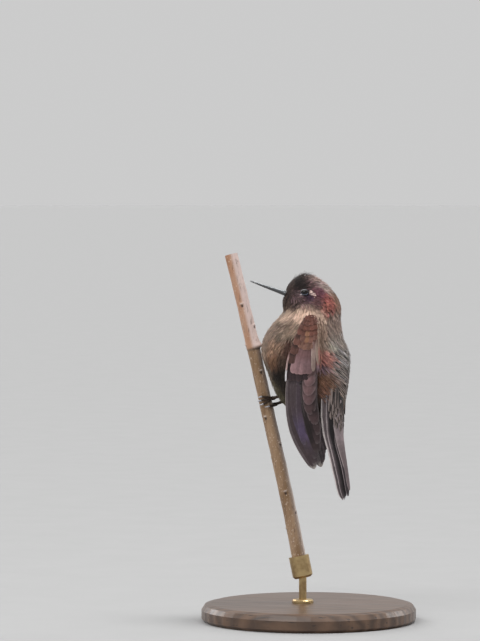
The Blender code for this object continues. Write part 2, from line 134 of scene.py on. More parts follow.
def meshOf(name, points, faces):
    data = bpy.data.meshes.new(name)
    corners = np.concatenate([np.asarray(f).ravel() for f in faces]).astype(np.int32)
    sizes = np.concatenate([np.full(len(f), np.asarray(f).shape[1]) for f in faces])
    starts = np.concatenate(([0], np.cumsum(sizes)[:-1])).astype(np.int32)
    data.vertices.add(len(points))
    data.vertices.foreach_set("co", (np.asarray(points) * mm).astype(np.float32).ravel())
    data.loops.add(len(corners))
    data.loops.foreach_set("vertex_index", corners)
    data.polygons.add(len(starts))
    data.polygons.foreach_set("loop_start", starts)
    data.update(calc_edges=True)
    data.shade_smooth()
    return data


def ringFaces(rows, around):
    index = np.arange(rows * around).reshape(rows, around)
    beyond = np.roll(index, -1, axis=1)
    return np.stack((index[:-1], beyond[:-1], beyond[1:], index[1:]), 2).reshape(-1, 4)


def endFans(rows, around):
    # triangles that close the first and the last ring, each to a point that follows the rings
    first, count = np.arange(around), rows * around
    last = first + count - around
    return np.concatenate((np.stack((np.roll(first, -1), first, 0 * first + count), 1),
                           np.stack((last, np.roll(last, -1), 0 * last + count + 1), 1)))


def onEach(*values):
    # values that vary along a grid's rows and columns, as one row for each point
    together = np.stack(np.broadcast_arrays(*values), 2)
    return together.reshape(-1, together.shape[2])


class Bundle:
    # gathers many small shapes, each with its own colours and map, into one mesh
    def __init__(self):
        self.points, self.faces, self.layers, self.count = [], {3: [], 4: []}, {}, 0

    def add(self, points, faces, **layers):
        points = np.asarray(points).reshape(-1, 3)
        for group in faces:
            group = np.asarray(group)
            self.faces[group.shape[1]].append(group + self.count)
        for name, values in layers.items():
            self.layers.setdefault(name, []).append(np.asarray(values))
        self.points.append(points)
        self.count += len(points)

    def build(self, name, look, sharp=50):
        faces = [np.concatenate(groups) for groups in self.faces.values() if groups]
        data = meshOf(name, np.concatenate(self.points), faces)
        data.set_sharp_from_angle(angle=math.radians(sharp))
        addLook(data, look, **{key: np.concatenate(rows) for key, rows in self.layers.items()})
        return newObject(name, data)


def finishPiece(obj, slot, *nodes):
    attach(obj, "root")
    if nodes:
        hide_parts(*nodes)
    return obj


# Materials

class Value:
    # a node's output that can stand in a sum or a product
    def __init__(self, look, link):
        self.look, self.link = look, link

    def __add__(self, other):
        return self.look.math("ADD", self, other)

    def __sub__(self, other):
        return self.look.math("SUBTRACT", self, other)

    def __rsub__(self, other):
        return self.look.math("SUBTRACT", other, self)

    def __mul__(self, other):
        return self.look.math("MULTIPLY", self, other)

    __radd__, __rmul__ = __add__, __mul__


class Look:
    def __init__(self, name, **constants):
        self.material = bpy.data.materials.new(name)
        self.material.use_nodes = True
        self.nodes = self.material.node_tree.nodes
        self.links = self.material.node_tree.links
        self.shader = self.nodes["Principled BSDF"]
        for socket, value in constants.items():
            self.shader.inputs[socket.replace("_", " ")].default_value = value

    def put(self, socket, value):
        if isinstance(value, Value):
            self.links.new(value.link, socket)
        else:
            socket.default_value = value

    def node(self, kind, settings=None, inputs=None, output=0):
        made = self.nodes.new("ShaderNode" + kind)
        for key, value in (settings or {}).items():
            setattr(made, key, value)
        for key, value in (inputs or {}).items():
            self.put(made.inputs[key], value)
        return Value(self, made.outputs[output])

    def math(self, operation, *values):
        return self.node("Math", {"operation": operation}, dict(enumerate(values)))

    def mix(self, first, second, share, mode="MIX"):
        settings = {"data_type": "RGBA", "blend_type": mode}
        inputs = {0: share}
        for socket, colour in ((6, first), (7, second)):
            inputs[socket] = (*colour, 1.0) if isinstance(colour, tuple) else colour
        return self.node("Mix", settings, inputs, output=2)

    def fade(self, value, low, high, start=0.0, end=1.0):
        inputs = {0: value, 1: low, 2: high, 3: start, 4: end}
        return self.node("MapRange", {"interpolation_type": "SMOOTHSTEP"}, inputs)

    def noise(self, scale, detail, roughness, where):
        inputs = {"Vector": where, "Scale": scale, "Detail": detail, "Roughness": roughness}
        return self.node("TexNoise", None, inputs)

    def place(self, scale=(1.0, 1.0, 1.0)):
        where = self.node("TexCoord", output=3)
        return self.node("VectorMath", {"operation": "MULTIPLY"}, {0: where, 1: scale})

    def layer(self, name, output=0):
        return self.node("Attribute", {"attribute_name": name}, output=output)

    def channels(self, vector, kind="SeparateXYZ"):
        first = self.node(kind, None, {0: vector})
        return [Value(self, out) for out in first.link.node.outputs]

    def vane(self):
        return self.channels(self.node("UVMap", {"uv_map": "vane"}))[:2]

    def bump(self, height, distance, strength=1.0):
        inputs = {"Height": height, "Distance": distance * mm, "Strength": strength}
        self.set("Normal", self.node("Bump", None, inputs))

    def set(self, socket, value):
        self.put(self.shader.inputs[socket], value)


barbLooks = {
    # barbs: how many show along a feather; slant: how far they run forward; pale: of the rims
    "face": {"barbs": 16, "slant": 0.5, "pale": (0.40, 0.31, 0.27), "rough": 0.62, "relief": 0.02,
             "shine": 0.15},
    "body": {"barbs": 18, "slant": 0.6, "pale": (0.50, 0.40, 0.32), "rough": 0.66, "relief": 0.03,
             "shine": 0.15},
    "covert": {"barbs": 30, "slant": 0.6, "pale": (0.42, 0.27, 0.24), "rough": 0.5, "relief": 0.03,
               "shine": 0.2},
    "quill": {"barbs": 110, "slant": 0.16, "pale": (0.42, 0.37, 0.38), "rough": 0.42, "relief": 0.04,
              "shine": 0.3},
}


def plumageLook(name, kind):
    # tint and marks come with the mesh: marks are rim, core, gloss and a share of chance
    make = barbLooks[kind]
    look = Look(name, Sheen_Weight=0.04, Sheen_Roughness=0.5, Specular_IOR_Level=make["shine"])
    tint = look.layer("tint")
    marks = look.layer("marks")
    odd = look.layer("marks", 3)
    rim, core, gloss = look.channels(marks, "SeparateColor")
    across, along = look.vane()
    aside = look.math("ABSOLUTE", across - 0.5) * 2.0
    edge = look.math("MAXIMUM", look.fade(aside, 0.6, 0.95), look.fade(along, 0.84, 0.98))
    inside = look.fade(aside, 0.3, 0.7, 1.0, 0.0) * look.fade(along, 0.94, 0.84)
    barb = look.math("SINE", (along - aside * make["slant"] * 0.4) * (make["barbs"] * math.tau))
    barb = barb * 0.5 + 0.5
    mottle = look.noise(900.0, 3.0, 0.6, look.place())
    broad = look.noise(160.0, 2.0, 0.5, look.place())
    colour = look.mix(tint, (0.012, 0.009, 0.008), core * inside)
    colour = look.mix(colour, make["pale"], rim * edge * (mottle * 1.2 + 0.3))
    shade = look.fade(mottle, 0.25, 0.75, 0.82, 1.12) * look.fade(broad, 0.3, 0.7, 0.9, 1.1)
    shade = shade * (barb * 0.16 + 0.92) * (odd * 0.3 + 0.85)
    grey = look.node("CombineXYZ", None, {0: shade, 1: shade, 2: shade})
    look.set("Base Color", look.mix(colour, grey, 1.0, "MULTIPLY"))
    look.set("Roughness", barb * 0.1 + mottle * 0.12 + (make["rough"] - 0.1))
    look.set("Metallic", gloss)
    shaft = look.fade(aside, 0.0, 0.07, 1.0, 0.0)
    look.bump(barb * 0.5 + shaft + mottle * 0.4, make["relief"])
    return look.material


# Body form

formMake = {
    "voxel": 0.45, "swell": 0.3, "smooth": 10,
    "neck": (118.0, 124.0),  # heights over which the body's skin becomes the head's
    "bodyDepth": 1.15, "headDepth": 0.75,  # of the skin below the plumage
    "shade": 0.55,  # of the plumage's tint on the skin
    # over the tail the skin ends flat: its height, how far above it the skin goes deeper, how much
    # deeper, how far it is drawn in, and what is left of its height below the end
    "skinEnd": 80.5, "endAbove": 6.0, "endDepth": 1.3, "endDrawn": 0.75, "endFlat": 0.15,
}
flesh = ("head", "neck", "trunk")
armNodes = ("wing_left_coverts", "wing_right_coverts")


def bodyForm(name, nodes):
    # one closed form over the thin cuts between the solids, as points and faces in millimetres
    mesh = bmesh.new()
    points, faces = nodeFaces(*nodes)
    rows = [mesh.verts.new(p) for p in points]
    for face in faces:
        if len({tuple(points[i]) for i in face}) == len(face):
            mesh.faces.new([rows[i] for i in face])
    bmesh.ops.remove_doubles(mesh, verts=mesh.verts, dist=1e-6)
    bmesh.ops.recalc_face_normals(mesh, faces=mesh.faces)
    data = bpy.data.meshes.new(name)
    mesh.to_mesh(data)
    mesh.free()
    obj = newObject(name, data)
    swell = obj.modifiers.new("Swell", "DISPLACE")
    swell.strength, swell.mid_level = formMake["swell"] * mm, 0.0
    remesh = obj.modifiers.new("Remesh", "REMESH")
    remesh.mode, remesh.voxel_size = "VOXEL", formMake["voxel"] * mm
    smooth = obj.modifiers.new("Smooth", "SMOOTH")
    smooth.factor, smooth.iterations = 0.5, formMake["smooth"]
    bpy.context.view_layer.update()
    made = bpy.data.meshes.new_from_object(obj.evaluated_get(bpy.context.evaluated_depsgraph_get()))
    bpy.data.objects.remove(obj)
    points = np.zeros(len(made.vertices) * 3)
    normals = np.zeros(len(made.vertices) * 3)
    made.vertices.foreach_get("co", points)
    made.vertex_normals.foreach_get("vector", normals)
    faces = [tuple(face.vertices) for face in made.polygons]
    points, normals = points.reshape(-1, 3) / mm, normals.reshape(-1, 3)
    return points - normals * formMake["swell"], normals, faces


# Plumage, by the places of its markings

# gap: between feathers, and stretch: how much wider it is along the lie; slim: the width of a feather
# for its gap; lift: of the tips; loose: how open the barbs are; rim, core and gloss: how strong the
# pale rim, the dark middle and the metal gloss are; spread: of the tint; force: over other patches
usual = {"gap": 0.5, "stretch": 2.2, "slim": 0.7, "lift": 0.08, "loose": 0.45, "rim": 0.2, "core": 0.1,
         "gloss": 0.1, "spread": 0.2, "force": 1.0}


def patch(at, reach, tint, lie, kind=usual, **more):
    return {"at": at, "reach": reach, "tint": tint, "lie": lie, **usual, **kind, **more}


face = {"gap": 0.33, "stretch": 1.6, "lift": 0.05, "slim": 0.8, "loose": 0.5, "rim": 0.1, "core": 0.05}
streaks = {"gap": 0.33, "stretch": 2.4, "slim": 0.55, "loose": 0.6, "rim": 0.8, "core": 0.3, "lift": 0.12,
           "spread": 0.3}
crest = {"gap": 0.36, "stretch": 2.0, "slim": 0.6, "loose": 0.8, "spread": 0.35}
spot = {"gap": 0.22, "stretch": 1.3, "slim": 0.85, "loose": 0.5, "rim": 0.1, "core": 0.0, "lift": 0.12,
        "force": 20.0}
headPatches = {
    # places and lies in the head's own frame: back, to the side, up
    "forehead": patch((-8.4, 2.4, 2.9), 1.7, (0.054, 0.034, 0.029), (1, 0.3, 0.7), face),
    "browFront": patch((-5.4, 4.4, 4.4), 2.1, (0.014, 0.010, 0.010), (1, 0.1, 0.5), face),
    "crownTop": patch((-3.6, 1.5, 8.0), 2.1, (0.026, 0.018, 0.016), (1, 0, 0.5), crest, lift=0.9, rim=0.3),
    "crownSide": patch((-0.6, 5.4, 5.6), 1.4, (0.120, 0.062, 0.070), (1, 0, 0.1), crest, lift=0.2,
                       rim=0.15),
    "crownBack": patch((1.6, 3.0, 7.0), 2.2, (0.540, 0.370, 0.330), (1, 0, 0.1), crest, lift=0.5, rim=0.4,
                       core=0.35),
    "paleStreak": patch((3.4, 4.6, 5.4), 1.0, (0.48, 0.36, 0.34), (1, 0, -0.4), streaks, lift=0.3,
                        force=2.0),
    "paleStreakBack": patch((6.2, 4.8, 3.4), 1.2, (0.50, 0.38, 0.33), (1, 0, -0.6), streaks, lift=0.3,
                            force=1.5),
    "lore": patch((-6.5, 5.2, -0.3), 1.4, (0.165, 0.102, 0.110), (1, 0.3, -0.3), face, rim=0.25,
                  spread=0.35),
    "chin": patch((-9.2, 3.0, -2.6), 2.2, (0.042, 0.021, 0.015), (-0.45, 0, -1), streaks, rim=0.55,
                  spread=0.5),
    "chinSide": patch((-6.4, 5.4, -3.0), 1.4, (0.042, 0.020, 0.018), (-0.6, 0, -1), streaks, rim=0.6,
                      spread=0.5),
    "underEye": patch((-1.6, 7.2, -1.2), 1.0, (0.048, 0.024, 0.050), (1, 0, -0.3), face),
    "cheek": patch((-2.6, 7.4, -2.5), 1.3, (0.125, 0.063, 0.066), (0.8, 0, -0.6), face, rim=0.25,
                   spread=0.4),
    "behindEye": patch((3.2, 7.0, 1.4), 1.6, (0.140, 0.052, 0.070), (1, 0, -0.2), face, gloss=0.15),
    "ear": patch((2.4, 8.2, -2.2), 1.4, (0.120, 0.054, 0.057), (1, 0, -0.5), face, rim=0.15),
    "napeRed": patch((6.8, 7.0, -1.8), 1.9, (0.420, 0.128, 0.105), (0.85, 0, -0.6), gap=0.36, slim=0.95,
                     stretch=1.8, rim=0.1, core=0.3, gloss=0.2, spread=0.4, force=1.4),
    "napeRedLow": patch((5.8, 8.4, -4.4), 1.3, (0.400, 0.150, 0.120), (0.6, 0, -0.9), gap=0.36, slim=0.9,
                        stretch=1.8, rim=0.2, core=0.3, gloss=0.2, spread=0.4),
    "nape": patch((9.6, 3.5, -1.0), 2.5, (0.360, 0.200, 0.140), (0.3, 0, -1), gap=0.38, stretch=3.0,
                  slim=0.6, rim=0.5, core=0.4, spread=0.3),
    "eyeSpot": patch((-0.35, 7.0, 1.30), 0.22, (0.85, 0.64, 0.58), (1, 0, -0.1), spot),
    "eyeSpotBack": patch((0.75, 7.3, 0.70), 0.20, (0.85, 0.62, 0.56), (1, 0, -0.4), spot),
    "eyeSpeckFront": patch((-4.7, 6.2, 0.6), 0.12, (0.85, 0.75, 0.72), (1, 0, 0), spot),
    "eyeSpeckLow": patch((-4.9, 6.3, -1.0), 0.13, (0.90, 0.80, 0.78), (1, 0, 0), spot),
}
bars = {"gap": 0.72, "stretch": 4.2, "slim": 0.66, "loose": 0.2, "rim": 0.95, "core": 1.0, "lift": 0.1,
        "gloss": 0.1, "spread": 0.3}
fluff = {"gap": 0.36, "stretch": 2.6, "slim": 0.74, "loose": 0.6, "lift": 0.2, "rim": 0.25, "core": 0.15,
         "spread": 0.22}
smooth = {"gap": 0.34, "stretch": 3.4, "slim": 1.0, "loose": 0.4, "lift": 0.02, "rim": 0.05, "core": 0.0,
          "spread": 0.07}
hanging = {"gap": 0.36, "stretch": 4.2, "slim": 0.7, "loose": 0.35, "rim": 0.15, "core": 0.1,
           "spread": 0.1}
soft = {"gap": 0.4, "stretch": 3.2, "slim": 0.65, "loose": 0.5, "rim": 0.35, "core": 0.3, "spread": 0.25}
hair = {"gap": 0.43, "stretch": 3.6, "slim": 0.6, "loose": 0.4, "rim": 0.6, "core": 0.5, "spread": 0.2}
bodyPatches = {
    # places and lies in the shared frame, with the distance to the side for Y
    "collarFront": patch((-6.6, 6.4, 121.2), 1.8, (0.680, 0.485, 0.370), (-0.6, 0.3, -0.5), smooth),
    "collarSide": patch((0.0, 9.3, 122.0), 1.8, (0.740, 0.515, 0.395), (-0.1, 0.4, -1), smooth),
    "collarBack": patch((5.4, 8.8, 120.8), 1.6, (0.560, 0.395, 0.305), (0.5, 0.3, -1), smooth),
    "throat": patch((-10.5, 0.0, 120.0), 2.6, (0.520, 0.370, 0.280), (-0.4, 0, -1), fluff),
    "hindneck": patch((11.5, 3.0, 117.5), 2.8, (0.440, 0.315, 0.260), (0.15, 0, -1), hair),
    "breastUpper": patch((-9.8, 9.4, 115.6), 2.8, (0.360, 0.260, 0.200), (-0.9, 0, -0.8), fluff),
    "breastDark": patch((-8.8, 10.6, 112.0), 0.9, (0.110, 0.086, 0.068), (-0.8, 0, -0.8), fluff),
    "breastByWing": patch((-4.9, 11.5, 116.4), 1.6, (0.340, 0.240, 0.180), (-0.6, 0, -1), fluff),
    "breastFront": patch((-15.5, 4.0, 111.0), 3.6, (0.440, 0.320, 0.250), (-0.2, 0, -1), fluff),
    "breastMiddle": patch((-12.4, 10.2, 108.0), 2.6, (0.370, 0.225, 0.155), (-0.6, 0, -0.9), fluff),
    "breastLow": patch((-12.4, 10.6, 103.6), 2.2, (0.260, 0.125, 0.068), (-0.35, 0, -1), fluff),
    # breastShade, belly, bellyLow and flank are dark for painted shade under the breast and beside the wing
    "breastShade": patch((-8.4, 12.0, 103.0), 1.6, (0.075, 0.045, 0.032), (-0.2, 0, -1), fluff),
    "bellyFront": patch((-15.5, 0.0, 99.0), 4.0, (0.240, 0.170, 0.120), (0.2, 0, -1), fluff),
    "belly": patch((-9.2, 10.4, 97.0), 3.0, (0.016, 0.011, 0.009), (0.0, 0, -1), fluff, rim=0.05),
    "bellyLow": patch((-7.8, 9.0, 91.5), 2.4, (0.028, 0.020, 0.015), (0.2, 0, -1), fluff, rim=0.1),
    "vent": patch((-11.5, 3.0, 91.5), 3.0, (0.170, 0.145, 0.085), (0.4, 0, -1), fluff),
    "flank": patch((-1.0, 12.0, 91.0), 4.0, (0.060, 0.040, 0.032), (0.3, 0, -1)),
    "wingFront": patch((-4.6, 12.6, 107.5), 1.5, (0.090, 0.040, 0.030), (-0.1, 0, -1)),
    "scapular": patch((7.0, 12.0, 115.6), 2.4, (0.460, 0.310, 0.235), (0.25, 0.2, -1), hanging),
    "scapularLow": patch((9.0, 12.4, 110.6), 2.0, (0.440, 0.310, 0.235), (0.15, 0, -1), hanging),
    "scapularSlit": patch((11.4, 8.4, 113.6), 0.9, (0.090, 0.060, 0.048), (0.6, 0, -1), hanging),
    "backUpper": patch((13.5, 4.0, 112.0), 2.8, (0.480, 0.400, 0.350), (0.5, 0.2, -1), hair),
    "backGreen": patch((11.2, 8.6, 108.6), 1.5, (0.460, 0.420, 0.330), (0.7, 0.2, -1), soft, force=1.3),
    "backRed": patch((9.8, 10.4, 104.4), 2.1, (0.640, 0.275, 0.230), (0.9, -0.5, -1), soft, gloss=0.15,
                     force=1.5),
    "backPurple": patch((8.4, 11.6, 99.8), 1.1, (0.320, 0.220, 0.270), (0.6, 0, -1), soft, gloss=0.15),
    # the bars' silvery tints are partly their pale edges and partly a painted sheen of the glossy feather
    # tips
    "barsUpper": patch((14.0, 6.0, 106.0), 2.9, (0.680, 0.640, 0.660), (1.2, -1.1, -1), bars),
    "barsMiddle": patch((14.6, 6.0, 98.0), 3.2, (0.620, 0.550, 0.540), (1.2, -1.1, -1), bars),
    "barsLow": patch((13.4, 5.8, 91.0), 2.8, (0.520, 0.415, 0.365), (0.9, -0.6, -1), bars),
    "backMiddle": patch((16.4, 0.0, 101.0), 2.6, (0.550, 0.480, 0.460), (0.2, 0, -1), bars),
    "backLow": patch((9.6, 9.6, 95.0), 2.4, (0.330, 0.160, 0.095), (1.0, -0.7, -1), hair, rim=0.35),
    "backLowSide": patch((7.4, 9.8, 91.4), 2.0, (0.260, 0.120, 0.080), (0.8, 0, -1), soft),
    "rump": patch((12.4, 4.4, 86.2), 3.0, (0.460, 0.330, 0.285), (0.6, 0, -1), hair),
    "tailCoverts": patch((12.6, 2.4, 78.5), 3.0, (0.440, 0.410, 0.430), (0.12, 0, -1), hair, gap=0.55),
    "underTail": patch((4.0, 3.0, 80.0), 3.8, (0.110, 0.080, 0.065), (0.45, 0, -1), gap=0.55),
}


def patchTable():
    rows = [*headPatches.values(), *bodyPatches.values()]
    table = {key: np.array([row[key] for row in rows], float) for key in rows[0]}
    table["onHead"] = np.arange(len(rows)) < len(headPatches)
    return table


patches = patchTable()
plumageSharp = 1.5  # how suddenly one patch gives way to the next


def plumageAt(points):
    # each property at these points, blended from the patches nearby; the lie is a direction
    weights = np.zeros((len(points), len(patches["reach"])))
    lies = np.zeros((len(points), len(patches["reach"]), 3))
    for onHead, places, axes in ((True, toHead(points), headAxes), (False, points, np.eye(3))):
        chosen = patches["onHead"] == onHead
        side = np.where(places[:, 1] < 0, -1.0, 1.0)
        folded = foldSides(places)
        away = np.linalg.norm(folded[:, None] - patches["at"][chosen][None], axis=2)
        share = np.exp(-0.5 * (away / patches["reach"][chosen]) ** 2) * patches["force"][chosen]
        weights[:, chosen] = share ** plumageSharp + 1e-6 / (1 + away**2)
        turn = np.stack((side * 0 + 1, side, side * 0 + 1), 1)
        lies[:, chosen] = patches["lie"][chosen][None] * turn[:, None] @ axes
    weights /= weights.sum(1, keepdims=True)
    found = {key: weights @ patches[key] for key in (*usual, "tint")}
    found["lie"] = unit((weights[:, :, None] * unit(lies)).sum(1))
    return found


# Wing outline and outer face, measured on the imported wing

wingNodes = [f"wing_left_{part}" for part in ("coverts", "primaries", "secondaries")]
wingBelow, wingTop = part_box(wingNodes[1])[0].z / mm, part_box(wingNodes[0])[1].z / mm
wingTree = BVHTree.FromPolygons(*nodeFaces(*wingNodes))
faceRows, faceColumns = 60, 15
faceInset = 0.3  # of the first and the last level from the wing's ends
faceScan = (-12.0, 14.0, 261)  # along X: from, to, and how many rays
faceFar = 40.0  # where the rays start
faceWithin = (0.08, 0.92)  # the part of the chord that is clear of its rounded edges


def measureWing():
    # rays across the left wing find its edges and its outer face at even heights
    levels = np.linspace(wingBelow + faceInset, wingTop - faceInset, faceRows)
    lead, trail, table = [], [], []
    for level in levels:
        hits = []
        for x in np.linspace(*faceScan):
            hit = wingTree.ray_cast(Vector((x, -faceFar, level)) * mm, Vector((0, 1, 0)))[0]
            if hit:
                hits.append((x, hit.y / mm))
        hits = np.array(hits)
        if len(hits) < 3:
            hits = np.array(((lead[-1], table[-1][0]), (trail[-1], table[-1][-1])))
        lead.append(hits[0, 0])
        trail.append(hits[-1, 0])
        across = np.linspace(hits[0, 0], hits[-1, 0], faceColumns)
        table.append(np.interp(across, hits[:, 0], hits[:, 1]))
    table = np.array(table)
    for _ in range(3):
        table[1:-1] = (table[:-2] + 2 * table[1:-1] + table[2:]) / 4
    return levels, np.array(lead), np.array(trail), table


wingLevels, wingLead, wingTrail, wingFace = measureWing()


def wingEdges(z):
    return np.interp(z, wingLevels, wingLead), np.interp(z, wingLevels, wingTrail)


def wingSurface(x, z):
    # distance along Y of the left wing's outer face
    lead, trail = wingEdges(z)
    across = np.clip((x - lead) / np.maximum(trail - lead, 0.2), *faceWithin) * (faceColumns - 1)
    row = np.clip((z - wingLevels[0]) / (wingLevels[-1] - wingLevels[0]), 0, 1) * (faceRows - 1)
    i, j = np.minimum(row.astype(int), faceRows - 2), np.minimum(across.astype(int), faceColumns - 2)
    low, high = (blend(wingFace[k, j], wingFace[k, j + 1], across - j) for k in (i, i + 1))
    return blend(low, high, row - i)


outside = -9.0  # depth given to a point that is nowhere near
archMake = {
    # the collar's arch over the wing: its top, the middle of the curve, and how fast it falls away
    "top": 120.0, "middle": 2.4, "fall": 0.30, "inner": 8.5,
    # how far the scapulars reach over the wing's hind edge, by height
    "levels": (94.0, 97.0, 105.0, 108.5), "scapulars": (0.0, 1.3, 1.3, 1.9),
    "coverts": 96.0, "under": 2.6,  # below this height the body's feathers tuck under the quills
    # how far feathers may overlap the bare wing, and how much less at the hind part of its top
    "overlap": 0.3, "clearTop": 0.9, "clearAbove": (111.0, 113.0), "clearBehind": (3.6, 4.6),
}


def insideWing(points):
    # how deep a point on the form lies inside the bare part of a wing, below the collar's arch
    x, y, z = points[:, 0], np.abs(points[:, 1]), points[:, 2]
    lead, trail = wingEdges(z)
    arch = archMake["top"] - archMake["fall"] * (x - archMake["middle"]) ** 2
    trail = trail - np.interp(z, archMake["levels"], archMake["scapulars"])
    tucked = archMake["under"] * ease(archMake["coverts"], archMake["coverts"] - 1.5, z)
    depth = np.minimum(np.minimum(x - lead, trail - x) - tucked, arch - z)
    return np.where((y > archMake["inner"]) & (z > wingLevels[0]), depth, outside)


tailMake = {
    "root": (10.4, 86.5), "end": (15.3, 51.0),  # of the ridge, along X and Z
    "slope": 50.0, "droop": 0.86,  # of its sides, and what is left of it for the middle pair
    "fork": 3.4,  # how far the outermost feathers run past the ridge
    "rise": 1.25, "half": 0.3, "step": 0.15,  # of the middle pair, the sides, and from feather to feather
    # down the ridge: the width of a side's feathers, and where its coverts end
    "along": (-2.4, 0.0, 2.3, 5.5, 9.6, 13.0, 16.0),
    "outer": (8.6, 8.3, 8.1, 7.9, 7.6, 7.4, 7.2),
    "covered": (8.7, 7.3, 5.8, 4.1, 2.1, 0.2, -2.0),
    "ridge": 1.0, "clear": 0.9,  # small feathers may lie this near to the ridge, and this far out
    "proud": 0.35,  # of the outermost feather's edge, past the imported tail's
    "sink": 0.35,  # how deep a feather may lie in the body
    "drawnAt": (10.0, 17.0, 31.0, 38.0), "drawn": (0.15, 1.2, 1.2, 0.3),  # its outline bends in lower down
    "short": 0.3, "blunt": 3.2, "camber": 0.05,  # how far the tips stay back, and the shape of the webs
    "pastRidge": 0.6,  # of the left side's feathers, under the middle pair
    "overSides": 0.35,  # of the middle pair, where the body lifts it
    "stackFrom": (12.0, 28.0), "farSide": 0.4,  # where the feathers stack up, and how much on the right
}


def tailAxes(slope):
    # the tail's ridge, and its left side: down it, behind it, out across it and off its face
    (rootX, rootZ), (endX, endZ) = tailMake["root"], tailMake["end"]
    root, end = np.array((rootX, 0.0, rootZ)), np.array((endX, 0.0, endZ))
    down = unit(end - root)
    behind = np.array((-down[2], 0.0, down[0]))
    out = np.array((0.0, -math.cos(slope), 0.0)) - behind * math.sin(slope)
    face = np.array((0.0, -math.sin(slope), 0.0)) + behind * math.cos(slope)
    return root, np.linalg.norm(end - root), down, behind, out, face


def overTail(points):
    # how deep a point lies over the bare part of the folded tail
    root, _, down, _, out, _ = tailAxes(math.radians(tailMake["slope"]))
    away = foldSides(points) * np.array((1.0, -1.0, 1.0)) - root
    along, across = away @ down, away @ out
    covered = np.interp(along, tailMake["along"], tailMake["covered"])
    outer = np.interp(along, tailMake["along"], tailMake["outer"]) + tailMake["clear"]
    depth = np.minimum(np.minimum(across - covered, outer - across), along - tailMake["along"][0])
    bare = (np.abs(points[:, 1]) > tailMake["ridge"]) & (along < tailMake["along"][-1] + 1.0)
    return np.where(bare, depth, outside)


# Small feathers of the body

featherMake = {
    "along": (0.0, 0.12, 0.28, 0.44, 0.58, 0.70, 0.81, 0.90, 0.96),
    "closed": (0.15, 0.50, 0.82, 0.97, 1.0, 0.97, 0.88, 0.70, 0.46),
    "notched": (0.15, 0.50, 0.82, 0.94, 0.89, 0.82, 0.71, 0.54, 0.33),
    "firstBarb": 3,  # loose barbs stand apart from this point on
    "barbReach": 0.06, "barbWide": 1.04,  # how far their tips run past the closed outline
    "tipReach": 0.02, "thick": 0.035, "arch": 0.10,
    "rootDepth": 0.16,  # of a feather's length
    "length": 3.8, "width": 0.98,  # of the gap between feathers; the width is half of the whole
    "stretched": 1.9, "pointed": 0.6,  # how much longer and more pointed the wider spaced ones are
    "steps": 7,
    "follow": 0.35,  # how readily a feather's line bends with the plumage round it
    "seat": 0.08,  # of its line below the form
}


def featherTemplate():
    # the triangles, and for each point: the place along, across when closed and when loose, how far it
    # reaches on when loose, and the side of the sheet
    along = np.array(featherMake["along"])
    closed, notched = np.array(featherMake["closed"]), np.array(featherMake["notched"])
    count, first = len(along), featherMake["firstBarb"]
    rows, index = [], {}

    def point(key, *row):
        index[key] = len(rows)
        rows.append(row)

    for k in range(count):
        point(("top", k), along[k], 0, 0, 0, 1)
        point(("under", k), along[k], 0, 0, 0, -1)
        for side in (-1, 1):
            point((side, k), along[k], side * closed[k], side * notched[k], 0, 0)
            if first <= k < count - 1:
                t = (along[k] + along[k + 1]) / 2
                wide = (closed[k] + closed[k + 1]) / 2
                loose = wide * featherMake["barbWide"]
                point((side, k, "barb"), t, side * wide, side * loose, featherMake["barbReach"], 0)
    point("tip", 1.0, 0, 0, featherMake["tipReach"], 0)
    faces = []
    for side in (-1, 1):
        for spine, turn in (("top", side), ("under", -side)):
            for k in range(count - 1):
                a, b = index[spine, k], index[spine, k + 1]
                c, d = index[side, k + 1], index[side, k]
                found = [(a, b, c), (a, c, d)]
                if (side, k, "barb") in index:
                    tip = index[side, k, "barb"]
                    found = [(a, b, c), (a, c, tip), (a, tip, d)]
                faces += [f if turn > 0 else f[::-1] for f in found]
            last = (index[spine, count - 1], index["tip"], index[side, count - 1])
            faces.append(last if turn > 0 else last[::-1])
        closing = (index["top", 0], index[side, 0], index["under", 0])
        faces.append(closing if side > 0 else closing[::-1])
    return np.array(rows, float), np.array(faces)


template, templateFaces = featherTemplate()


def nearestOn(tree, points):
    found = [tree.find_nearest(Vector(p) * mm) for p in points]
    return np.array([f[0] for f in found]) / mm, np.array([f[1] for f in found])


def tangent(directions, normals):
    return unit(directions - normals * (directions * normals).sum(1, keepdims=True))


def layLines(tree, roots, lengths, turns):
    # each feather's middle line: it follows the lie of the plumage over the form
    steps = featherMake["steps"]
    points, normals = nearestOn(tree, roots)
    lie = tangent(plumageAt(points)["lie"], normals)
    across = np.cross(normals, lie)
    lie = unit(lie * np.cos(turns)[:, None] + across * np.sin(turns)[:, None])
    lines, faces = [points], [normals]
    for _ in range(steps - 1):
        straight = points + lie * (lengths / (steps - 1))[:, None]
        points, found = nearestOn(tree, straight)
        turned = (found[:, 2] < plumageMake["downward"]) & (points[:, 2] < plumageMake["pastEnd"])
        turned = turned[:, None]
        points, normals = np.where(turned, straight, points), np.where(turned, normals, found)
        onward = tangent(lie + featherMake["follow"] * plumageAt(points)["lie"], normals)
        lie = np.where(turned, lie, onward)
        lines.append(points)
        faces.append(normals)
    return np.stack(lines, 1), unit(np.stack(faces, 1))


def chart(points, centre, polar):
    # a map of the form: the turn round an upright axis, and the height or, if polar, the angle from the top
    away = points - centre
    turn = np.arctan2(away[:, 1], -away[:, 0])
    if polar:
        rise = np.arctan2(np.hypot(away[:, 0], away[:, 1]), away[:, 2])
        return np.stack((turn, -rise), 1)
    return np.stack((turn, points[:, 2]), 1)


def fitChart(places):
    low, high = places.min(0), places.max(0)
    return 0.02 + 0.96 * (places - low) / (high - low)


onMap = 0.003  # the size of one feather there
bodyAxis = np.array((0.0, 0.0, 100.0))  # a point on the axis that the body's map turns round


